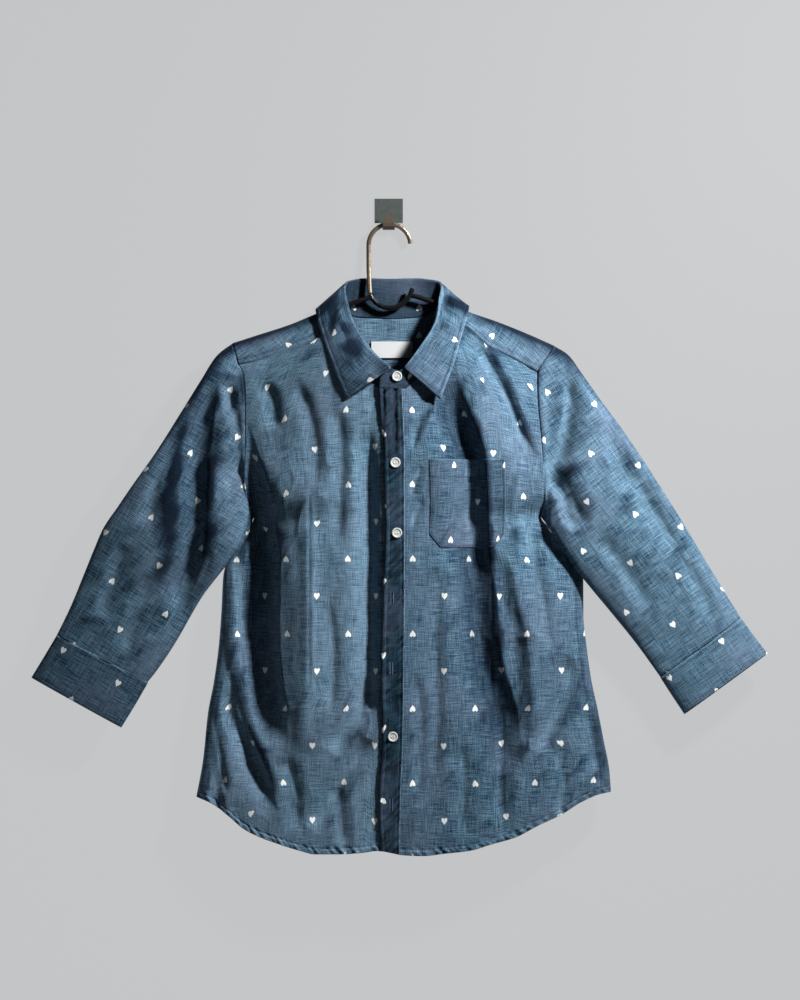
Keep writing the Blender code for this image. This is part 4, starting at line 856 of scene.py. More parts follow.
pocket_chambray = chambray("pocket_chambray", deep=(0.006, 0.024, 0.052), pale=(0.110, 0.195, 0.270))
pocket_patch = sew("pocket_patch", pocket_points, grain(pocket_points, (106.6, 348.6)), thick=0.8, wear_and_shade=worn_and_shaded)
dress(pocket_patch, pocket_chambray, "pocket")

side_rows, columns = line_of(POCKET_SIDE_ROWS), line_of(POCKET_COLUMNS)
side_inset = POCKET_STITCH / (across[1] - across[0])
rows_per_mm = (POCKET_ROWS - 1.0) / (bottom - POCKET_TOP)
thread("pocket_stitches", navy_thread, [
    seam_run(pocket_points, side_rows, side_inset),
    seam_run(pocket_points, side_rows, POCKET_COLUMNS - 1.0 - side_inset),
    seam_run(pocket_points, POCKET_ROWS - 1.0 - POCKET_STITCH * rows_per_mm, columns),
    seam_run(pocket_points, POCKET_HEM * rows_per_mm, columns),
])


# ---------------------------------------------------------------------------------------------
# Yoke: one piece over both shoulders, from the front seams to the back one, lying on the hanger's
# arms. It is folded under at its seams and topstitched close to the edge.
RIDGE_OUT, RIDGE_HALF, RIDGE_DROP = 17.0, 5.5, 1.8
YOKE_BULGE, YOKE_HOLLOW = 1.2, 0.8
YOKE_BACK_STEPS = (0.30, 0.64)
YOKE_GAPS = (5, 5, 3, 3, 10, 12, 12)      # rows between the yoke's guiding lines
YOKE_GUIDES = np.cumsum((0,) + YOKE_GAPS)
YOKE_RIDGE_ROW, YOKE_NECK_ROW = YOKE_GUIDES[3], YOKE_GUIDES[4]
YOKE_LEFT_END, YOKE_RIGHT_START = 51, 102      # columns where the shoulders meet the neckline
LEFT_RIDGE = table("x down", [(-187, 158), (-159, 149), (-119, 136), (-90, 124), (-60, 111)])
RIGHT_RIDGE = table("x down", [(66, 108), (97, 121), (129, 132), (169, 148), (198, 161)])
BACK_NECK = table("x down out", [
    (-60, 112.8, 11.5), (-46, 125, 9.5), (-20, 128, 8.5), (5, 128.5, 8.5), (30, 128, 8.5), (51, 122, 9.5),
    (66, 109.8, 11.5),
])
BACK_YOKE_SEAM = table("x down out", [(-181, 218, 9), (-60, 222, 8), (66, 222, 8), (190, 218, 9)])


def through(rows, gaps):
    """Smooth rows through guiding rows, with a number of steps in each gap."""
    rows = np.array(rows, dtype=float)
    shape = [-1] + [1] * (rows.ndim - 1)
    far = np.linalg.norm(np.diff(rows, axis=0), axis=-1).reshape(len(rows) - 1, -1).mean(axis=1)
    way = np.diff(rows, axis=0) / far.reshape(shape)
    before, after = far[:-1].reshape(shape), far[1:].reshape(shape)
    slope = np.concatenate([way[:1], (way[1:] * before + way[:-1] * after) / (before + after), way[-1:]])
    fine = []
    for index, count in enumerate(gaps):
        for step in range(count):
            part, rest = step / count, 1.0 - step / count
            fine.append(rows[index] * (1.0 + 2.0 * part) * rest ** 2
                        + rows[index + 1] * part ** 2 * (3.0 - 2.0 * part)
                        + far[index] * part * rest * (slope[index] * rest - slope[index + 1] * part))
    fine.append(rows[-1])
    return np.array(fine)


def points_on(tab, x):
    """Points of a line that a table gives by x."""
    return np.stack([x, read(tab, "out", "x", x), read(tab, "down", "x", x)], axis=-1)


def front_top(tab, x):
    """Points of a front's top line."""
    return np.stack([x, read(tab, "out", "x", x), np.interp(x, tab["x"], tab["down"])], axis=-1)

def shoulder(front, ridge, share, front_run, ridge_run, back_run):
    """Rows of one shoulder, from its front seam over the ridge to the back seam; a run is x and span."""
    front_x, ridge_x, end_x = (start + span * share for start, span in (front_run, ridge_run, back_run))
    seam, end = front_top(front, front_x), points_on(BACK_YOKE_SEAM, end_x)
    top = read(ridge, "down", "x", ridge_x)
    level = np.full_like(ridge_x, RIDGE_OUT)
    before = spots(ridge_x, level + RIDGE_HALF, top + RIDGE_DROP)
    behind = spots(ridge_x, level - RIDGE_HALF, top + RIDGE_DROP)
    between = 0.5 * (seam + before) + np.array([0.0, YOKE_BULGE, 0.0])
    steps = [behind + step * (end - behind) - np.array([0.0, YOKE_HOLLOW, 0.0]) for step in YOKE_BACK_STEPS]
    guides = [seam, between, before, spots(ridge_x, level, top), behind, *steps, end]
    return through(np.stack(guides), YOKE_GAPS)


share = np.linspace(1.0, 0.0, YOKE_LEFT_END + 1)
left_shoulder = shoulder(LEFT_TOP, LEFT_RIDGE, share, (-62.0, -119.0), (-60.0, -127.0), (-60.0, -121.0))
right_shoulder = shoulder(RIGHT_TOP, RIGHT_RIDGE, share[::-1], (69.0, 109.0), (66.0, 132.0), (66.0, 124.0))
x = np.linspace(-60.0, 66.0, YOKE_LEFT_END + 1)[1:-1]
neck, end = points_on(BACK_NECK, x), points_on(BACK_YOKE_SEAM, x)
lower_rows = through(np.stack([neck, *(neck + step * (end - neck) for step in YOKE_BACK_STEPS), end]),
                     YOKE_GAPS[4:])
yoke_middle = np.concatenate([np.tile(neck, (YOKE_NECK_ROW, 1, 1)), lower_rows])
yoke_points = np.concatenate([left_shoulder, yoke_middle, right_shoulder], axis=1)
yoke_rows, yoke_columns = yoke_points.shape[:2]
yoke_present = np.ones((yoke_rows - 1, yoke_columns - 1), bool)
yoke_present[:YOKE_NECK_ROW, YOKE_LEFT_END:YOKE_RIGHT_START] = False
rows, columns = line_of(yoke_rows)[:, None], line_of(yoke_columns)
x, down = yoke_points[..., 0], yoke_points[..., 2]
wrinkle = 0.5 * ruffle(x, down, 16.0, 9.0, 71.0) + 0.4 * ruffle(x + down, down, 30.0, 16.0, 73.0)
inner = (rows > 1) & (rows < yoke_rows - 2)
yoke_points[..., 1] += wrinkle * np.where(rows < YOKE_RIDGE_ROW, 1.0, -1.0) * inner
yoke_points[:3, :, 1] += np.array([0.9, 0.9, 0.5])[:, None]
yoke_points[0, :, 2] += 1.2
worn_and_shaded = np.zeros(yoke_points.shape[:2])
worn_and_shaded[0], worn_and_shaded[-1], worn_and_shaded[2] = 0.55, 0.3, -0.3
yoke_cloth = sew("yoke_cloth", yoke_points, grain(yoke_points, (-121.0, 160.0), middle=75, level=20),
                 flip=True, keep=yoke_present, wear_and_shade=worn_and_shaded)
dress(yoke_cloth, blue_chambray, "yoke")
thread("yoke_stitches", navy_thread, [
    seam_run(yoke_points, 1.2, columns[:YOKE_LEFT_END], flip=True),
    seam_run(yoke_points, 1.2, columns[YOKE_RIGHT_START:], flip=True),
    seam_run(yoke_points, yoke_rows - 2.0, columns, flip=True),
])


# ---------------------------------------------------------------------------------------------
# Back: one wide panel hanging from the yoke between the armholes, with the same rolled hem. It
# falls in long loose folds and ends a little above the fronts' hem.
BACK_COLUMNS, BACK_ROWS = 122, 166
BACK_NEAREST = 2.2         # least distance from the wall


def edge_behind(front_edge, rows):
    """Edge of the back: its own rows, and the front's from a little below the armhole."""
    shared = front_edge["down"] > 370.0
    return table("down x out roll", rows + list(zip(*(values[shared] for values in front_edge.values()))))


BACK_EDGES = {
    "left": edge_behind(LEFT_EDGE, [
        (218, -181, 9, 0), (262, -177, 8, 0), (298, -175, 8, 0), (330, -172, 9, 1), (350, -168, 12.5, 4),
        (367, -162, 20, 7)]),
    "right": edge_behind(RIGHT_EDGE, [
        (218, 190, 9, 0), (262, 187, 8, 0), (298, 187, 8, 0), (330, 187, 9, 1), (350, 186, 12.5, 4),
        (367, 183, 20, 7)]),
}
BACK_HEM = table("x down", [
    (-231, 703), (-212, 708), (-185, 729), (-150, 749), (-105, 763), (-50, 766), (-13, 764.5),
    (20, 767), (80, 765), (135, 752.5), (185, 730), (225, 709), (250, 699), (267, 697),
])
BACK_FOLDS = [
    (8.8, 20, 20, [(-110, 260), (-122, 450), (-128, 700)]),
    (6.2, 22, 22, [(20, 320), (8, 520), (14, 740)]),
    (8.8, 20, 20, [(120, 250), (138, 460), (150, 700)]),
    (3.8, 10, 14, [(-60, 232), (-64, 300), (-56, 400)]),
    (3.8, 12, 9, [(76, 230), (82, 300), (74, 420)]),
    (4.4, 12, 8, [(-168, 420), (-150, 520), (-146, 640)]),
    (4.4, 8, 12, [(196, 420), (184, 520), (188, 640)]),
    (3.1, 10, 8, [(-30, 560), (-36, 640), (-34, 750)]),
    (3.1, 9, 10, [(60, 600), (70, 680), (66, 760)]),
    (3.1, 9, 8, [(-186, 560), (-190, 640), (-194, 706)]),
]
back_share = np.linspace(0.0, 1.0, BACK_COLUMNS)
last_level = ROWS["down"][-1]
level = np.linspace(BACK_YOKE_SEAM["down"].mean(), last_level, BACK_ROWS)[:, None]


def back_x(down):
    """x of the back's points, on rows that lie at given levels."""
    left, right = (read(BACK_EDGES[side], "x", "down", down) for side in ("left", "right"))
    return left + back_share * (right - left)


at_top = read(BACK_YOKE_SEAM, "down", "x", back_x(np.full(BACK_COLUMNS, 220.0)))
at_hem = np.full(BACK_COLUMNS, last_level)
for _ in range(8):
    at_hem = read(BACK_HEM, "down", "x", back_x(at_hem))
down = (level + (at_top - level[0]) * (1.0 - smooth_step(level, 220.0, 300.0))
        + read(ROWS, "hem", "down", level) * (at_hem - last_level))
x = back_x(down)
edge_x, edge_out, roll = (
    np.where(x < CENTRE_X, *(read(BACK_EDGES[side], name, "down", down) for side in ("left", "right")))
    for name in ("x", "out", "roll"))
from_edge = np.abs(edge_x - x)
turned = edge_out - roll * quarter(from_edge / SIDE_ROLL)
inward = np.sin(0.5 * math.pi * np.minimum(from_edge / np.abs(edge_x - CENTRE_X), 1.0))
out = turned + (read(MIDDLE, "back", "down", down) - turned) * inward
ease = np.minimum(from_edge / SEAM_EASE, 1.0) * quarter((down - at_top) / SEAM_EASE)
at_seam = read(BACK_YOKE_SEAM, "out", "x", x)
out = at_seam + (out - at_seam) * smooth_step(down, 218.0, 260.0) + sunk(BACK_FOLDS, x, down) * ease
out -= crumple(x, down, 23.0) * (0.1 + 0.9 * ease)
relief, worn_and_shaded = hem_turn(down, at_hem, x, 27.0)
back_points = spots(x, np.maximum(out - relief, BACK_NEAREST), down)
back_cloth = sew("back_cloth", back_points, grain(back_points, (4.0, 420.0), middle=61, level=60),
                 flip=True, wear_and_shade=worn_and_shaded)
dress(back_cloth, blue_chambray, "back")
thread("back_hem_stitches", navy_thread, [hem_run(back_points, at_hem, flip=True)])


# ---------------------------------------------------------------------------------------------
# Sleeves: flat open tubes set into the armholes, hanging down and out at their own slant. They keep
# the folds that the armhole's curve and the weight of the cuff pull into them.
SLEEVE_COLUMNS = "outer_x outer_down inner_x inner_down middle half even"
LEFT_SLEEVE = table(SLEEVE_COLUMNS, [
    (-205, 172, -165, 376, 23, 13, 0.20), (-226, 204, -168, 387, 27, 13, 0.45),
    (-250, 243, -173, 396, 31, 14, 0.70), (-279, 289, -178, 405, 34, 14, 0.90),
    (-308, 330, -185, 414, 35, 14, 1.00), (-325, 355, -204, 437, 34, 14, 1.00),
    (-342, 380, -223, 462, 32, 14, 1.00), (-354, 407, -238, 487, 30, 14, 1.00),
    (-365, 434, -254, 515, 28, 13.5, 1.00), (-388, 488, -284, 559, 26, 12.5, 1.00),
    (-399, 510, -291, 567, 25, 12, 1.00),
])
RIGHT_SLEEVE = table(SLEEVE_COLUMNS, [
    (216, 173, 185, 370, 23, 13, 0.20), (232, 195, 188, 374, 27, 13, 0.45),
    (253, 225, 190, 377, 31, 14, 0.70), (281, 263, 192, 380, 34, 14, 0.90),
    (310, 306, 195, 384, 35, 14, 1.00), (326, 331, 209, 405, 34, 14, 1.00),
    (342, 356, 224, 429, 32, 14, 1.00), (358, 382, 243, 453, 30, 14, 1.00),
    (374, 409, 263, 477, 28, 13.5, 1.00), (407, 463, 303, 527, 26, 12.5, 1.00),
    (423.4, 489, 327, 560.5, 25, 12, 1.00),
])
LEFT_SLEEVE_FOLDS = [
    (5.0, 12, 14, [(-213, 190), (-220, 240), (-226, 300), (-226, 366), (-235, 433), (-262, 488)]),
    (4.3, 7, 7, [(-196, 203), (-186, 240), (-177, 272)]),
    (4.3, 7, 6, [(-196, 330), (-185, 318), (-172, 304)]),
    (4.7, 14, 9, [(-258, 270), (-278, 330), (-292, 380)]),
    (4.1, 10, 14, [(-318, 400), (-330, 440), (-346, 490)]),
    (4.7, 9, 8, [(-205, 400), (-232, 452), (-262, 510)]),
    (3.4, 12, 8, [(-282, 440), (-300, 480), (-318, 530)]),
    (3.4, 8, 8, [(-238, 214), (-258, 252), (-276, 292)]),
]
RIGHT_SLEEVE_FOLDS = [
    (8.8, 9, 12, [(209, 192), (218, 210), (215, 246), (207, 290), (190, 312)]),
    (6.8, 8, 9, [(189, 316), (206, 323), (216, 344), (234, 380)]),
    (6.8, 15, 12, [(286, 304), (300, 330), (316, 355), (346, 406)]),
    (4.7, 6, 7, [(218, 176), (236, 200), (254, 230)]),
    (4.7, 7, 7, [(246, 462), (280, 505), (322, 556)]),
    (4.1, 9, 12, [(252, 390), (284, 432), (312, 480)]),
    (4.1, 12, 9, [(262, 256), (276, 300), (282, 340)]),
    (3.4, 10, 8, [(354, 420), (372, 452), (388, 492)]),
    (3.4, 8, 10, [(330, 330), (344, 360), (356, 392)]),
]
LEFT_SLEEVE_LAPS = [
    (13.0, 20, 16, [(-200, 185), (-203, 197), (-208, 251), (-214, 311), (-216, 371), (-222, 419), (-238, 467),
                    (-256, 491)]),
    (4.0, 8, 10, [(-176, 203), (-182, 236), (-200, 262), (-206, 300)]),
]
RIGHT_SLEEVE_LAPS = [
    (6.0, 8, 8, [(189, 316), (206, 323), (216, 342), (222, 360), (234, 380)]),
]
SLEEVE_HALF_AROUND = 66
SLEEVE_GAPS = [8] + [11] * 8 + [13, 8]        # rings between the guiding rings
ARMHOLE_FOOT = 367.0


def evenly(points, shares):
    """Points at shares of the length of a run of points."""
    reach = travelled(points)
    return np.stack([np.interp(shares, reach / reach[-1], values) for values in points.T], axis=-1)


def armhole(front_edge, back_edge, yoke_edge):
    """Ring of the armhole: from the shoulder top down the front and up the back."""
    sides = []
    for edge, levels in ((front_edge, np.linspace(yoke_edge[0, 2], ARMHOLE_FOOT, 60)[1:]),
                         (back_edge, np.linspace(ARMHOLE_FOOT, yoke_edge[-1, 2], 50)[1:-1])):
        sides.append(spots(read(edge, "x", "down", levels), read(edge, "out", "down", levels), levels))
    front, back = sides
    first = np.concatenate([yoke_edge[YOKE_RIDGE_ROW::-1], front])
    second = np.concatenate([front[-1:], back, yoke_edge[:YOKE_RIDGE_ROW - 1:-1]])
    shares = np.linspace(0.0, 1.0, SLEEVE_HALF_AROUND + 1)
    return np.concatenate([evenly(first, shares), evenly(second, shares)[1:]])


def tube_rings(sections, own, even, front_side):
    """Guiding rings of a sleeve or cuff: flat ovals between two edges."""
    rings = []
    for part in (dict(zip(sections, values)) for values in zip(*sections.values())):
        share = own + part["even"] * (even - own)
        bow = part["half"] * np.maximum(0.0, 1.0 - (2.0 * share - 1.0) ** 2) ** 0.4
        rings.append(spots(part["outer_x"] + share * (part["inner_x"] - part["outer_x"]),
                           part["middle"] + np.where(front_side, bow, -bow),
                           part["outer_down"] + share * (part["inner_down"] - part["outer_down"])))
    return rings


def around_shares(ring, half_around):
    """For each point round a tube: its share of the way down the armhole, an even share, and its side."""
    steps = np.arange(len(ring))
    front_side = steps <= half_around
    even = np.where(front_side, steps, 2 * half_around - steps) / half_around
    own = np.clip((ring[:, 2] - ring[0, 2]) / (ring[half_around, 2] - ring[0, 2]), 0.0, 1.0)
    return own, 0.5 - 0.5 * np.cos(math.pi * even), front_side


def sleeve(sections, ring, folds, laps, seed):
    """A whole sleeve as rings of points, with its folds."""
    own, even, front_side = around_shares(ring, SLEEVE_HALF_AROUND)
    rings = through([ring] + tube_rings(sections, own, even, front_side), SLEEVE_GAPS)
    x, down = rings[..., 0], rings[..., 2]
    to_edge = np.minimum(even, 1.0 - even) * 150.0
    from_seam = lengths(rings, 0) / MM
    facing = np.where(front_side, 1.0, -1.0)
    ease = np.minimum(to_edge / SEAM_EASE, 1.0) * quarter(from_seam / 30.0)
    pressed = np.where(front_side, sunk(folds, x, down) + lapped(laps, x, down),
                       -0.6 * sunk(folds, x + 14.0, down + 9.0))
    rings[..., 1] -= pressed * ease
    rings[..., 1] += crumple(x + 0.6 * down, down - 0.6 * x, seed) * facing * (0.1 + 0.9 * ease)
    lip = 0.9 * hump(from_seam, 3.5, at=5.0) - 0.5 * hump(from_seam, 1.6)
    rings[..., 1] += facing * lip * np.minimum(to_edge / 10.0, 1.0)
    rings[..., 1] = np.maximum(rings[..., 1], BACK_NEAREST)
    return rings


def tube_grain(rings, heart_at):
    """Grain of a tube: straight along its length, and round it from its upper fold."""
    outer, inner = rings[:, 0], rings[:, SLEEVE_HALF_AROUND]
    axis = unit((outer[-1] + inner[-1] - outer[0] - inner[0]) * np.array([1.0, 0.0, 1.0]))
    square = inner[-1] - outer[-1]
    square = unit(square - axis * (square @ axis) - np.array([0.0, square[1], 0.0]))
    step = np.diff(rings, axis=1)
    round_it = np.cumsum(np.hypot(step @ square, step[..., 1]), axis=1)
    across = (outer @ square)[:, None] + np.concatenate([np.zeros((len(rings), 1)), round_it], axis=1)
    return from_heart(rings, np.stack([across, rings @ axis], axis=-1) * MM, heart_at)


armhole_rings, armhole_runs = {}, []
# The last number in each row is painted light: the right sleeve paler and the left sleeve darker, as the lamp
# on the right lights them.
for side, edge, column, sections, folds, laps, seed, heart_at, wear_and_shade in (
        ("left", LEFT_EDGE, 0, LEFT_SLEEVE, LEFT_SLEEVE_FOLDS, LEFT_SLEEVE_LAPS, 31.0, (-291.2, 309.6),
         -0.05),
        ("right", RIGHT_EDGE, -1, RIGHT_SLEEVE, RIGHT_SLEEVE_FOLDS, RIGHT_SLEEVE_LAPS, 37.0, (246.4, 231.6),
         0.06)):
    flip = side == "right"
    ring = armhole(edge, BACK_EDGES[side], yoke_points[:, column])
    rings = sleeve(sections, ring, folds, laps, seed)
    around = line_of(len(ring))
    # Painted shade in the sleeve's laps, on its front half.
    lap_painted_shade = (around <= SLEEVE_HALF_AROUND) * lapped(laps, rings[..., 0], rings[..., 2])
    cloth = sew("sleeve_" + side + "_cloth", rings, tube_grain(rings, heart_at), closed=True, flip=flip,
                wear_and_shade=wear_and_shade - LAP_PAINTED_SHADE * lap_painted_shade)
    dress(cloth, blue_chambray, "sleeve_" + side)
    armhole_rings[side] = ring
    armhole_runs.append(seam_run(rings, 0.7, around, flip=flip))
thread("armhole_stitches", navy_thread, armhole_runs)


# ---------------------------------------------------------------------------------------------
# Cuffs: straight folded bands, stiffer than the sleeves, sewn over their ends and stitched near both
# edges. They hang open.
LEFT_CUFF = table(SLEEVE_COLUMNS, [
    (-398.1, 508.5, -288.6, 565.6, 25, 12.9, 1), (-414.5, 536, -305, 594, 25, 12.8, 1),
    (-429, 560, -321, 620, 25, 12.6, 1),
])
RIGHT_CUFF = table(SLEEVE_COLUMNS, [
    (423, 488.3, 326.2, 560.2, 25, 12.9, 1), (439.5, 511, 341, 583, 25, 12.8, 1),
    (455, 531, 355, 604, 25, 12.6, 1),
])
CUFF_THICK = 1.5
CUFF_STITCH = 4.0          # from both edges


def cuff(sections, ring, seed):
    """A cuff as rings of points, with stitched edges and a few dents; and its wear."""
    own, even, front_side = around_shares(ring, SLEEVE_HALF_AROUND)
    rings = through(tube_rings(sections, own, even, front_side), [13, 13])
    from_top = lengths(rings, 0) / MM
    to_end = from_top[-1] - from_top
    to_edge = np.minimum(even, 1.0 - even) * 130.0
    relief = band_relief(from_top, CUFF_STITCH) + band_relief(to_end, CUFF_STITCH)
    relief += 0.5 * ruffle(from_top, lengths(rings, 1) / MM, 9.0, 7.0, seed) * hump(from_top, 9.0)
    relief += 0.9 * ruffle(rings[..., 0], rings[..., 2], 30.0, 34.0, seed + 3.0)
    rings[..., 1] += np.where(front_side, relief, -relief) * np.minimum(to_edge / 8.0, 1.0)
    worn_and_shaded = (0.6 * hump(to_end, 1.2) + 0.6 * hump(from_top, 1.2)
            - 0.5 * hump(from_top, 0.9, at=CUFF_STITCH) - 0.5 * hump(to_end, 0.9, at=CUFF_STITCH))
    return rings, worn_and_shaded


cuff_chambray = chambray("cuff_chambray", deep=(0.003, 0.024, 0.054), pale=(0.125, 0.235, 0.330))
cuff_runs = []
# The last number in each row is painted light: the right cuff paler and the left cuff darker, as the lamp on
# the right lights them.
for side, sections, heart_at, seed, wear_and_shade in (("left", LEFT_CUFF, (-324.0, 566.0), 59.0, -0.27),
                                             ("right", RIGHT_CUFF, (399.0, 517.0), 53.0, 0.27)):
    flip = side == "right"
    rings, worn_and_shaded = cuff(sections, armhole_rings[side], seed)
    band = sew("cuff_" + side + "_band", rings, tube_grain(rings, heart_at), closed=True, flip=flip,
               thick=CUFF_THICK, wear_and_shade=worn_and_shaded + wear_and_shade)
    dress(band, cuff_chambray, "cuff_" + side)
    last = rings.shape[0] - 1.0
    inset = CUFF_STITCH / (lengths(rings, 0)[-1, 0] / MM) * last
    cuff_runs += [seam_run(rings, row, around, flip=flip) for row in (inset, last - inset)]
thread("cuff_stitches", navy_thread, cuff_runs)


# ---------------------------------------------------------------------------------------------
# Collar: a stand round the neck that buttons at the front, and a leaf sewn into its top edge that
# turns down over it. Both are two layers with a stiffener between, and stitched along their edges.
NECK_MIDDLE = (4.0, 38.0)
ROLL = table("x out down", [
    (2, 69.5, 188), (-21, 62, 166), (-40, 46, 138), (-51, 28, 106), (-51, 12, 84.5),
    (-40, 5.9, 81), (0, 5.3, 80.5), (48, 5.9, 81), (62, 13, 84.5), (61, 28, 106),
    (57, 43, 131), (40, 59, 160), (19, 71.5, 188),
])
LEAF_EDGE = table("along x out down", [
    (0.000, -50, 0, 226), (0.093, -61, 0, 201), (0.193, -72, 0, 171), (0.270, -81, 0, 146),
    (0.305, -86, 33, 129), (0.328, -88, 24, 118), (0.348, -88, 11, 117), (0.375, -80, 4.5, 121),
    (0.420, -58, 3, 130), (0.497, 0, 2.8, 133), (0.590, 48, 3, 131), (0.635, 82, 4.5, 119),
    (0.672, 96, 11, 113), (0.694, 97, 24, 114), (0.720, 95, 34, 125), (0.790, 89, 0, 145),
    (0.850, 84, 0, 163), (0.902, 79, 0, 181), (1.000, 62, 0, 227),
])
STAND_END_UNDER = (16, 66.3, 193)
STAND_ENDS_OVER = [(4, 70.9, 194.6), (-10, 70.9, 195.2)]
STAND_DROP, STAND_IN = 1.3, 1.3
ROOT_DROP, ROOT_IN = 1.4, 1.6
CREST_IN, CREST_OUT, CREST_DROP = 0.4, 2.4, 1.8
LAP_OUT, LAP_SHARE = 2.0, 0.08
LEAF_STEPS = (0.30, 0.68)
LEAF_LIFT, LEAF_BULGE = 4.4, 4.0
YOKE_SLOPE = 0.3
BULGE_FROM, BULGE_FULL = 0.18, 0.38
COLLAR_THICK = 1.3
COLLAR_STITCH = 5.0            # from the leaf's edges
STAND_STITCHES = (1.2, 8.0)    # from the neck seam
LEAF_COLUMNS = 190

def outward_of(points):
    """Level directions away from the middle of the neck opening."""
    return unit((points - np.array([*NECK_MIDDLE, 0.0])) * np.array([1.0, 1.0, 0.0]))


def under_leaf(x, down, edge, top, folds):
    """Face of a front, and above its top line that of the yoke, which slopes back to the shoulder."""
    top_down = np.interp(x, top["x"], top["down"])
    face = front_face(x, np.maximum(down, top_down), edge, top, folds)
    return face - YOKE_SLOPE * np.maximum(top_down - down, 0.0)


def lifted(points, along):
    """Raise the points of the leaf that lie on the fronts clear of them."""
    points = points.copy()
    x, out, down = points[:, 0], points[:, 1], points[:, 2]
    level = LEAF_LIFT + np.where(x < CENTRE_X, under_leaf(x, down, *LEFT_SHAPE[:3]),
                                 under_leaf(x, down, *RIGHT_SHAPE[:3]))
    raised = 0.5 * (out + level + np.hypot(out - level, 2.0)) - 0.5
    in_front = 1.0 - smooth_step(along, 0.315, 0.345) + smooth_step(along, 0.680, 0.712)
    points[:, 1] = out + in_front * (np.maximum(raised, out) - out)
    return points


roll_line = through(spots(ROLL["x"], ROLL["out"], ROLL["down"]), [12] * 12)
left_neck = front_top(LEFT_TOP, np.array([13.0, 2.5, -12.0, -27.0, -43.0, -62.0]))
left_neck[:, 1] -= under_placket(left_neck[:, 0])
right_neck = front_top(RIGHT_TOP, np.array([69.0, 60.0, 48.0, 34.0, 17.0, 2.5, -12.0]))
right_neck[-3:, 1] += np.array([0.6, PLACKET_LIFT, PLACKET_LIFT])
left_step = yoke_points[YOKE_GUIDES[1:5], YOKE_LEFT_END]
right_step = yoke_points[YOKE_GUIDES[4:0:-1], YOKE_RIGHT_START]
neck_seam = np.concatenate([left_neck, left_step, points_on(BACK_NECK, BACK_NECK["x"][1:-1]), right_step,
                            right_neck])
seam_along = travelled(neck_seam[1:-2])
stand_roll = evenly(roll_line, seam_along / seam_along[-1])
stand_top = np.concatenate([[STAND_END_UNDER],
                            stand_roll - STAND_IN * outward_of(stand_roll) + np.array([0.0, 0.0, STAND_DROP]),
                            STAND_ENDS_OVER])
stand_rows = through(np.stack([neck_seam, 0.5 * (neck_seam + stand_top), stand_top]), [8, 8])
stand_points = through(stand_rows.transpose(1, 0, 2), [6] * (len(neck_seam) - 1)).transpose(1, 0, 2)
from_seam = lengths(stand_points, 0) / MM
tuck = ruffle(lengths(stand_points, 1) / MM, from_seam, 6.0, 30.0, 83.0)
stand_points[..., 1] += 0.45 * tuck * hump(from_seam, 7.0)
# The stand wears the darker copy of the chambray: painted shade.
stand_band = sew("collar_stand_band", stand_points, band_grain(stand_points, (36.4, 115.8), 8),
                 thick=COLLAR_THICK)
dress(stand_band, shaded_chambray, "collar_stand")
stand_inside = stand_points - (COLLAR_THICK + 0.1) * outward_of(stand_points)
thread("stand_stitches", navy_thread, [
    seam_run(stand_inside, rows_at(from_seam, up), line_of(stand_points.shape[1]), flip=True)
    for up in STAND_STITCHES])

along = np.linspace(0.0, 1.0, LEAF_COLUMNS)
roll = evenly(roll_line, along)
outward = outward_of(roll)
drop = np.array([0.0, 0.0, 1.0])
edge = lifted(spots(*(read(LEAF_EDGE, name, "along", along) for name in ("x", "out", "down"))), along)
root = roll - ROOT_IN * outward + ROOT_DROP * drop
lap = np.clip(1.0 - along / LAP_SHARE, 0.0, 1.0)[:, None]
crest = roll + (CREST_OUT + LAP_OUT * lap) * outward + CREST_DROP * drop
forward = np.clip((np.abs(along - 0.5) - BULGE_FROM) / (BULGE_FULL - BULGE_FROM), 0.0, 1.0)[:, None]
bow = LEAF_BULGE * forward * np.array([0.0, 1.0, 0.0])
upper, lower = (lifted(crest + step * (edge - crest) + bow, along) for step in LEAF_STEPS)
leaf_points = through(np.stack([root, roll - CREST_IN * outward, crest, upper, lower, edge]),
                      [2, 3, 8, 12, 12])
from_root, from_end = lengths(leaf_points, 0) / MM, lengths(leaf_points, 1) / MM
tall = from_root[-1]
to_edge, to_end = tall - from_root, from_end[:, -1:] - from_end
rim = np.minimum(to_edge, np.minimum(from_end, to_end))
leaf_way = np.where((np.abs(along - 0.5) < 0.16)[None, :], -1.0, 1.0)
relief = band_relief(rim, COLLAR_STITCH) + 0.6 * ruffle(from_end, to_edge, 34.0, 26.0, 89.0)
relief += 0.35 * ruffle(from_end, to_edge, 7.0, 9.0, 97.0) * hump(rim, 7.0)
leaf_points[..., 1] += relief * leaf_way * np.clip(from_root - 6.0, 0.0, 6.0) / 6.0
worn_and_shaded = (0.9 * hump(rim, 1.2) - 0.5 * hump(rim, 0.9, at=COLLAR_STITCH)
        + 0.5 * hump(from_root, 2.0, at=3.0)) - 0.22
# Painted shade on the left leaf: mottled dark patches across its middle, and its whole left end a little
# darker.
shade_blotches = np.clip(0.55 + 1.5 * ruffle(from_end, to_edge, 20.0, 15.0, 91.0), 0.0, 1.0)
worn_and_shaded -= (1.1 * smooth_step(from_end, 20.0, 40.0) * (1.0 - smooth_step(from_end, 150.0, 200.0)) * shade_blotches
         * hump(to_edge, 0.27 * tall, at=0.56 * tall))
worn_and_shaded -= 0.16 * (1.0 - smooth_step(from_end, 160.0, 240.0))
collar_leaf_cloth = sew("collar_leaf_cloth", leaf_points, band_grain(leaf_points, (-65.6, 147.0), 26),
                        flip=True, thick=COLLAR_THICK, wear_and_shade=worn_and_shaded)
dress(collar_leaf_cloth, blue_chambray, "collar_leaf")
rows_in = rows_at(-to_edge, -COLLAR_STITCH)
first_in, last_in = rows_at(from_end.T, COLLAR_STITCH), rows_at(-to_end.T, -COLLAR_STITCH)
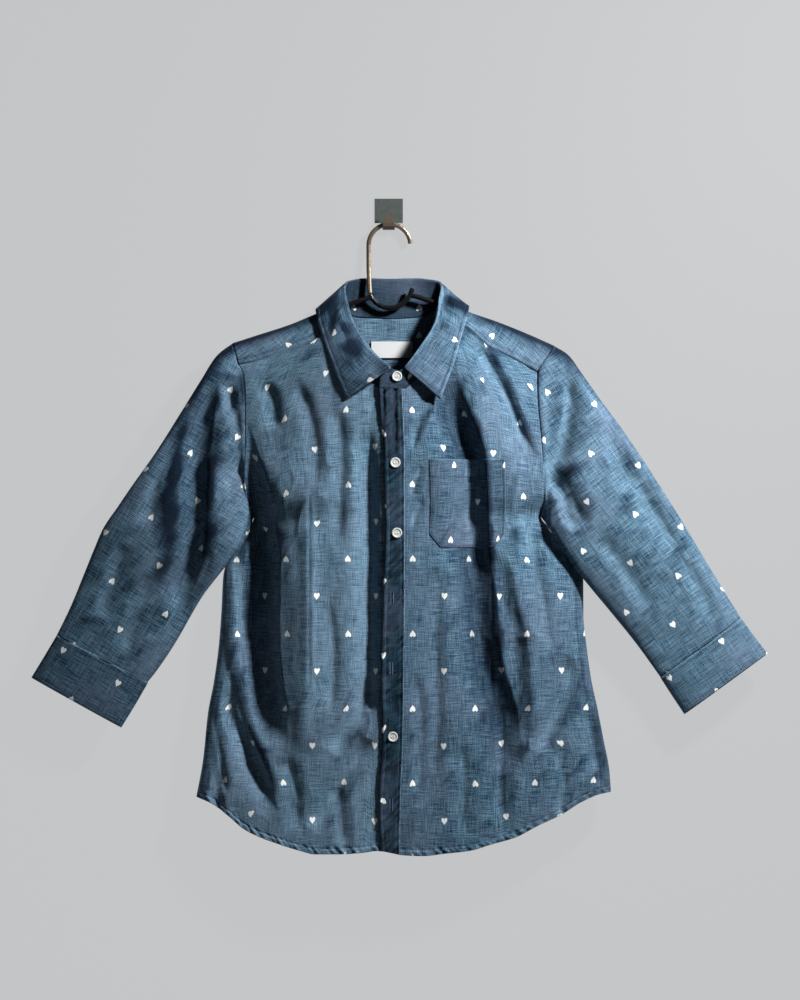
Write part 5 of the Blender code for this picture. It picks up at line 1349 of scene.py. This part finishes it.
between = slice(int(first_in[-1]), int(last_in[-1]) + 1)
up_ends = slice(5, -4)
end_rows = line_of(leaf_points.shape[0])[up_ends]
thread("collar_stitches", navy_thread, [
    seam_run(leaf_points, rows_in[between], line_of(LEAF_COLUMNS)[between], flip=True),
    seam_run(leaf_points, end_rows, first_in[up_ends], flip=True),
    seam_run(leaf_points, end_rows, last_in[up_ends], flip=True),
])


# ---------------------------------------------------------------------------------------------
# Buttons: four pearly four-hole shirt buttons with a raised rim. Each is sewn through its holes with
# white thread in two upright bars.
BUTTON_NODES = ("button_stand", "button_1", "button_2", "button_5")
BUTTON_HOLLOW = 0.62       # depth of a button's face inside its rim
BUTTON_BAR = 1.35          # from a button's middle to each bar of its thread


def finish_node(node, finish):
    """Give a hard piece its finish."""
    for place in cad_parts[node].material_slots:
        place.material = finish


pearl = uneven_finish("pearl_white", (0.60, 0.61, 0.59), (0.44, 0.47, 0.47), 380.0, Roughness=0.24,
                      Coat_Weight=0.5)
bars = []
for node in BUTTON_NODES:
    finish_node(node, pearl)
    corner, far_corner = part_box(node)
    middle = 0.5 * (corner + far_corner) / MM
    for side in (-BUTTON_BAR, BUTTON_BAR):
        bars.append([middle.x + side, -corner.y / MM - BUTTON_HOLLOW, -middle.z])
thread("button_thread", spun_thread("white_thread", (0.55, 0.56, 0.56)),
       [across_run(np.array(bars), [0.0, 0.0, 1.0])], long=3.5, half=0.38)


# ---------------------------------------------------------------------------------------------
# Hanger: a wire hook, plated and worn, on a body of bent wire that is dipped in black. The body's
# arms run under the yoke and carry the shirt.
plated = uneven_finish("worn_plating", (0.50, 0.42, 0.33), (0.28, 0.21, 0.16), 160.0, Roughness=0.30,
                       Metallic=0.85)
coated = uneven_finish("black_dip", (0.004, 0.004, 0.005), (0.010, 0.010, 0.012), 300.0, Roughness=0.24,
                       Coat_Weight=0.5)
finish_node("hanger_hook", plated)
finish_node("hanger_arms", coated)


# ---------------------------------------------------------------------------------------------
# Wall hook: a small square plate of dull zinc-coated steel, flat on the wall. Its tongue, which is
# bent out to hold the hanger's hook, is browner than the plate.
TONGUE_FROM = -0.0030      # y where the tongue leaves the plate, in metres
TONGUE_SHARPNESS = 900.0
TONGUE_BROWN = (0.105, 0.078, 0.058)

zinc = uneven_finish("dull_zinc", (0.042, 0.054, 0.050), (0.086, 0.102, 0.096), 210.0, bump=0.0002,
                     Roughness=0.5, Metallic=0.3)
tree = zinc.node_tree
split = tree.nodes.new("ShaderNodeSeparateXYZ")
tree.links.new(tree.nodes["Texture Coordinate"].outputs["Object"], split.inputs[0])
_, less, times, least, most = reckoning(tree)
bent_out = least(most(times(less(TONGUE_FROM, split.outputs[1]), TONGUE_SHARPNESS), 0.0), 1.0)
base_colour = tree.nodes["Principled BSDF"].inputs["Base Color"]
tree.links.new(blend_colour(tree, bent_out, base_colour.links[0].from_socket, TONGUE_BROWN), base_colour)
finish_node("wall_hook", zinc)


# ---------------------------------------------------------------------------------------------
# Neck label: a small woven ribbon inside the back of the neck, left bare white. Its finish is matt
# and a little rough.
ribbon = uneven_finish("white_ribbon", (0.60, 0.61, 0.63), (0.48, 0.50, 0.53), 900.0, bump=0.0002,
                       Roughness=0.8)
finish_node("neck_label", ribbon)
